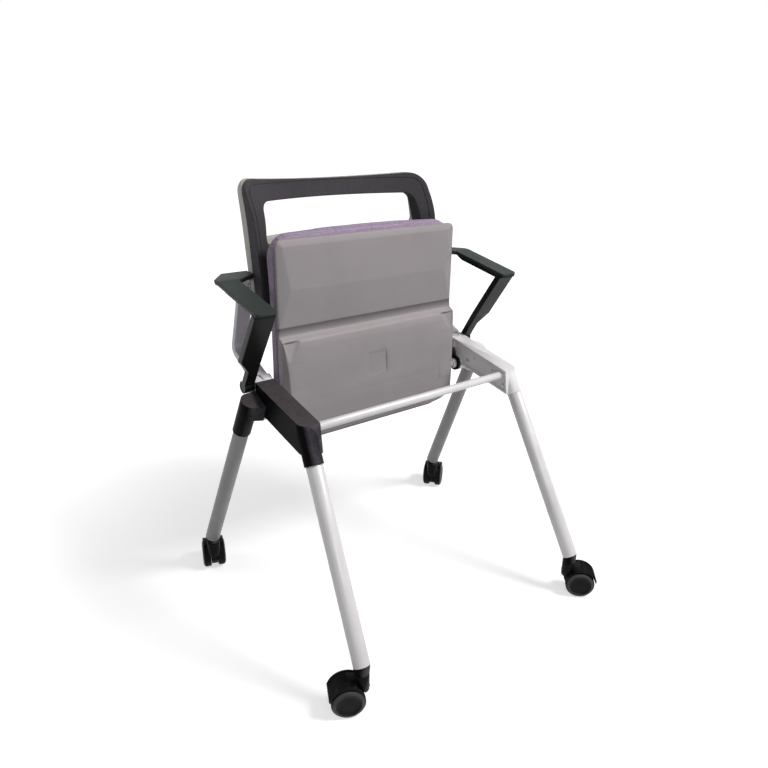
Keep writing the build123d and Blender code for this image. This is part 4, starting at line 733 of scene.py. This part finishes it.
def corner_pleats(obj):
    """Small pleats where the cloth is gathered round the corners, deepest next to the shell."""
    low_x, low_z = CUSHION_HALF - PLEAT_LOW_RADIUS, CUSHION_LOW + PLEAT_LOW_RADIUS
    high_x, high_z = CUSHION_HALF - PLEAT_HIGH_RADIUS, CUSHION_HIGH - PLEAT_HIGH_RADIUS
    corners = [
        (high_x, high_z, PLEAT_HIGH_RADIUS, (38, 58, 74)),
        (-high_x, high_z, PLEAT_HIGH_RADIUS, (112, 130, 152, 168)),
        (-low_x, low_z, PLEAT_LOW_RADIUS, (205, 222, 238, 252)),
        (low_x, low_z, PLEAT_LOW_RADIUS, (290, 306, 322, 338)),
    ]
    middle = (CUSHION_LOW + CUSHION_HIGH) / 2
    for vert in obj.data.vertices:
        depth = vert.co.y - CUSHION_BACK
        if depth > PLEAT_REACH:
            continue
        fade = max(0.0, 1 - depth / PLEAT_REACH)
        for cx, cz, r, angles in corners:
            dx, dz = vert.co.x - cx, vert.co.z - cz
            reach = math.hypot(dx, dz)
            if reach < r * 0.55 or dx * cx < 0 or dz * (cz - middle) < 0:
                continue
            here = math.degrees(math.atan2(dz, dx)) % 360
            for i, angle in enumerate(angles):
                lean = angle + PLEAT_LEAN * depth * (1 if i % 2 else -1)
                away = (here - lean) * math.pi / 180 * reach
                dip = math.exp(-(away / DIP_WIDTH) ** 2) * DIP_DEPTH
                rise = math.exp(-((abs(away) - RISE_PLACE) / RISE_WIDTH) ** 2) * RISE_HEIGHT
                scale = fade ** 0.8 * (1.0 if i % 2 == 0 else 0.7)
                vert.co.x -= dx / reach * (dip - rise) * scale
                vert.co.z -= dz / reach * (dip - rise) * scale


def seat_cushion():
    obj = piece("seat_cushion_cloth", *cushion_form(), "lilac_knit", "seat", "lilac_knit")
    remesh(obj)
    swell(obj)
    # It stays flat against the shell, and level where the sitter's weight goes
    for vert in obj.data.vertices:
        vert.co.y = min(max(vert.co.y, CUSHION_BACK), CUSHION_FRONT)
    corner_pleats(obj)
    for vert in obj.data.vertices:
        fold = sum(noise.noise(vert.co * count) * size for size, count in FOLDS)
        if vert.co.y > CUSHION_BACK + MM:
            vert.co += vert.normal * fold
    fine = obj.modifiers.new("fine", "SUBSURF")
    fine.levels = 1
    fine.render_levels = 1
    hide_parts("seat_cushion")


# ---------------------------------------------------------------- back: mesh sheet and seam

SHEET_HALF, SHEET_LOW, SHEET_HIGH = 0.1834, 0.5846, 0.6894
SHEET_CORNER = 0.024
SHEET_COLUMNS, SHEET_ROWS = 72, 22
SHEET_PROUD, SHEET_THICKNESS = 0.0004, 0.0012
# The back bends round an upright axis this far in front of the origin
BEND_AXIS = 0.215


def sheet_front(x, z):
    """The Y of the mesh panel's front; beyond its rounded corners, its curve goes on."""
    y = front_of("back_mesh", x, z)
    if y is None:
        inner_x = x * 0.9
        inner_z = max(SHEET_LOW + 0.018, min(SHEET_HIGH - 0.018, z))
        reach = math.hypot(front_of("back_mesh", inner_x, inner_z) + BEND_AXIS, inner_x)
        y = math.sqrt(reach ** 2 - x ** 2) - BEND_AXIS
    return y


def sheet_point(i, j):
    x = -SHEET_HALF + 2 * SHEET_HALF * i / SHEET_COLUMNS
    return x, SHEET_LOW + (SHEET_HIGH - SHEET_LOW) * j / SHEET_ROWS


def in_sheet(i, j):
    """Whether a cell of the grid lies inside the sheet's rounded corners."""
    x, z = sheet_point(i + 0.5, j + 0.5)
    r = SHEET_CORNER
    dx, dz = abs(x) - (SHEET_HALF - r), max(SHEET_LOW + r - z, z - (SHEET_HIGH - r))
    return not (dx > 0 and dz > 0 and math.hypot(dx, dz) > r)


def back_mesh_sheet():
    """The stretched mesh, as one thin closed sheet that follows the solid's own curve."""
    verts, faces = [], []
    for side in (0, 1):
        for j in range(SHEET_ROWS + 1):
            for i in range(SHEET_COLUMNS + 1):
                x, z = sheet_point(i, j)
                y = sheet_front(x, z) + (SHEET_PROUD + SHEET_THICKNESS * side)
                verts.append(Vector((x, y, z)))
    kept = [(i, j) for i in range(SHEET_COLUMNS) for j in range(SHEET_ROWS) if in_sheet(i, j)]
    cells = set(kept)
    row = SHEET_COLUMNS + 1
    rear = row * (SHEET_ROWS + 1)
    for i, j in kept:
        a = j * row + i
        b, c, d = a + 1, a + row + 1, a + row
        faces.append((a, b, c, d))
        faces.append((rear + d, rear + c, rear + b, rear + a))
        borders = {(i, j - 1): (a, b), (i + 1, j): (b, c), (i, j + 1): (c, d), (i - 1, j): (d, a)}
        for beside, (p, q) in borders.items():
            if beside not in cells:
                faces.append((q, p, rear + p, rear + q))
    obj = piece("back_mesh_sheet", verts, faces, "dark_mesh", "frame", "dark_mesh")
    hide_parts("back_mesh")


SEAM_HALF, SEAM_LOW, SEAM_HIGH = 0.206, 0.562, 0.829
SEAM_LOW_CORNER, SEAM_HIGH_CORNER, SEAM_CORNER_STEPS = 0.032, 0.018, 10
SEAM_RADIUS = 0.0009
SEAM_PROUD = 0.35


def ring_seam():
    """A corded seam on the front of the ring, seen as a thin raised line."""
    loop = rounded_loop(
        SEAM_HALF, SEAM_LOW, SEAM_HIGH, SEAM_LOW_CORNER, SEAM_HIGH_CORNER, SEAM_CORNER_STEPS,
    )
    points = []
    for x, z in loop:
        y = front_of("back_frame", x, z)
        if y is not None:
            points.append(Vector((x, y - SEAM_RADIUS * SEAM_PROUD, z)))
    verts, faces = tube(points, SEAM_RADIUS, closed=True)
    piece("ring_welt", verts, faces, "dark_mesh", "frame", "dark_mesh")


# ---------------------------------------------------------------- small hard details

# The left cover's top slopes up to the rear by COVER_SLOPE, through COVER_TOP_Z at Y 0
COVER_SLOPE, COVER_TOP_Z, COVER_TOP_SKIN = 0.1837, 0.4673, 0.0022
SCREW_X, SCREW_YS = -0.2475, (-0.029, 0.044)
SCREW_PROFILE = [
    (0.0026, -0.0006), (0.0026, 0.0003), (0.0022, 0.0006),
    (0.0012, 0.0006), (0.0011, -0.0004), (0.0002, -0.0005),
]


def cover_screws():
    """Small screws in the left cover's top, with a socket."""
    upright = Vector((0, -COVER_SLOPE, 1)).normalized()
    for i, y in enumerate(SCREW_YS):
        z = COVER_TOP_Z + COVER_SLOPE * y + COVER_TOP_SKIN / math.cos(math.atan(COVER_SLOPE))
        verts, faces = lathe(SCREW_PROFILE, Vector((SCREW_X, y, z)), upright)
        piece(f"cover_screw_{i}", verts, faces, "wheel_rim", "frame", "screw_steel")


# Each caster's swivel axis, and the way its wheels trail in degrees
CASTERS = {
    "front_left": ((-0.269, -0.252), 154.0),
    "front_right": ((0.269, -0.252), -43.0),
    "rear_left": ((-0.316, 0.252), 71.0),
    "rear_right": ((0.316, 0.252), 42.0),
}
TRAIL, WHEEL_RADIUS = 0.025, 0.030


def caster_frame(corner):
    """The hub of a caster, and its trailing and sideways directions."""
    foot, angle = CASTERS[corner]
    turn = math.radians(angle)
    ahead = Vector((math.cos(turn), math.sin(turn), 0))
    across = Vector((-ahead.y, ahead.x, 0))
    return Vector((*foot, WHEEL_RADIUS)) + ahead * TRAIL, ahead, across


RIB_COUNT, RIB_SPACING = 8, 0.0054
RIB_RADIUS, RIB_FLATTEN = 0.00135, 0.7
RIB_RING = WHEEL_RADIUS + 0.0040
RIB_STEPS, RIB_START = 24, 16
# Beside the neck the ribs run over the top; at the neck they stop short of it
NECK_HALF, LONG_RIB, SHORT_RIB = 0.0145, 100, 72


def hood_ribs():
    """Raised ribs round each caster's hood, side by side across its width."""
    for corner in CASTERS:
        hub, ahead, across = caster_frame(corner)
        verts, faces = [], []
        for i in range(RIB_COUNT):
            shift = (i - (RIB_COUNT - 1) / 2) * RIB_SPACING
            reach = LONG_RIB if abs(shift) > NECK_HALF else SHORT_RIB
            points = []
            for k in range(RIB_STEPS + 1):
                t = math.radians(RIB_START + reach * k / RIB_STEPS)
                rise = Vector((0, 0, RIB_RING * math.sin(t)))
                points.append(hub + across * shift + ahead * (RIB_RING * math.cos(t)) + rise)
            more, quads = tube(points, RIB_RADIUS, flatten=RIB_FLATTEN, up=across)
            faces += [tuple(len(verts) + k for k in quad) for quad in quads]
            verts += more
        name, body = f"hood_ribs_{corner}", f"caster_{corner}"
        piece(name, verts, faces, "caster_plastic", body, "black_plastic")


WHEEL_INNER, WHEEL_OUTER = 0.0075, 0.0245
GROOVE_COUNT, GROOVE_SPACING, TREAD_START = 4, 0.0024, 0.0036
DISC_RADIUS = 0.0222
FACE_DEPTH = 0.003
WHEEL_SIDES = 64


def wheel_profile():
    """From the hub's inner end over the grooved tread and the shoulder to the disc's middle."""
    inner, outer, grooves = WHEEL_INNER, WHEEL_OUTER, []
    for i in range(GROOVE_COUNT):
        at = inner + TREAD_START + i * GROOVE_SPACING
        grooves += [(0.0300, at), (0.0300, at + 0.0012)]
        grooves += [(0.0293, at + 0.0015), (0.0293, at + 0.0021)]
    return [
        (0.0040, inner + 0.0012), (0.0120, inner + 0.0012), (0.0125, inner), (0.0275, inner),
        (0.0290, inner + 0.0008), (0.0296, inner + 0.0024),
        *grooves,
        (0.0299, outer - 0.0052), (0.0294, outer - 0.0040), (0.0280, outer - 0.0024),
        (0.0262, outer - 0.0011), (0.0244, outer - 0.0004), (0.0230, outer),
        (DISC_RADIUS, outer - 0.0002), (0.0217, outer - 0.0016), (0.0150, outer - 0.0019),
        (0.0060, outer - 0.0016), (0.0004, outer - 0.0015),
    ]


def wheels():
    """Each wheel as a turned form: a grooved tread, a shoulder with a paler look as a painted
    highlight, and a sunk disc.
    """
    for corner in CASTERS:
        hub, _, across = caster_frame(corner)
        for mark in ("a", "b"):
            node = f"caster_wheel_{corner}_{mark}"
            low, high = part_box(node)
            middle = (Vector(low) + Vector(high)) / 2
            side = across if (middle - hub).dot(across) > 0 else -across
            verts, faces = lathe(wheel_profile(), hub, side, WHEEL_SIDES)
            name, body = f"wheel_{corner}_{mark}_turned", f"wheel_{corner}_{mark}"
            obj = piece(name, verts, faces, "wheel_black", body, "wheel_black")
            obj.data.materials.append(LOOKS["wheel_disc"])
            # The shoulder's paler look is a painted highlight.
            obj.data.materials.append(LOOKS["wheel_rim"])
            for poly in obj.data.polygons:
                away = poly.center - hub
                height = away.dot(side)
                if height > WHEEL_OUTER - FACE_DEPTH:
                    in_disc = (away - side * height).length < DISC_RADIUS
                    poly.material_index = 1 if in_disc else 2
            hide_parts(node)


# ---------------------------------------------------------------- the chair

camera()
studio()
LOOKS = looks()
dress_nodes()
seat_cushion()
back_mesh_sheet()
ring_seam()
cover_screws()
hood_ribs()
wheels()
soften_nodes()
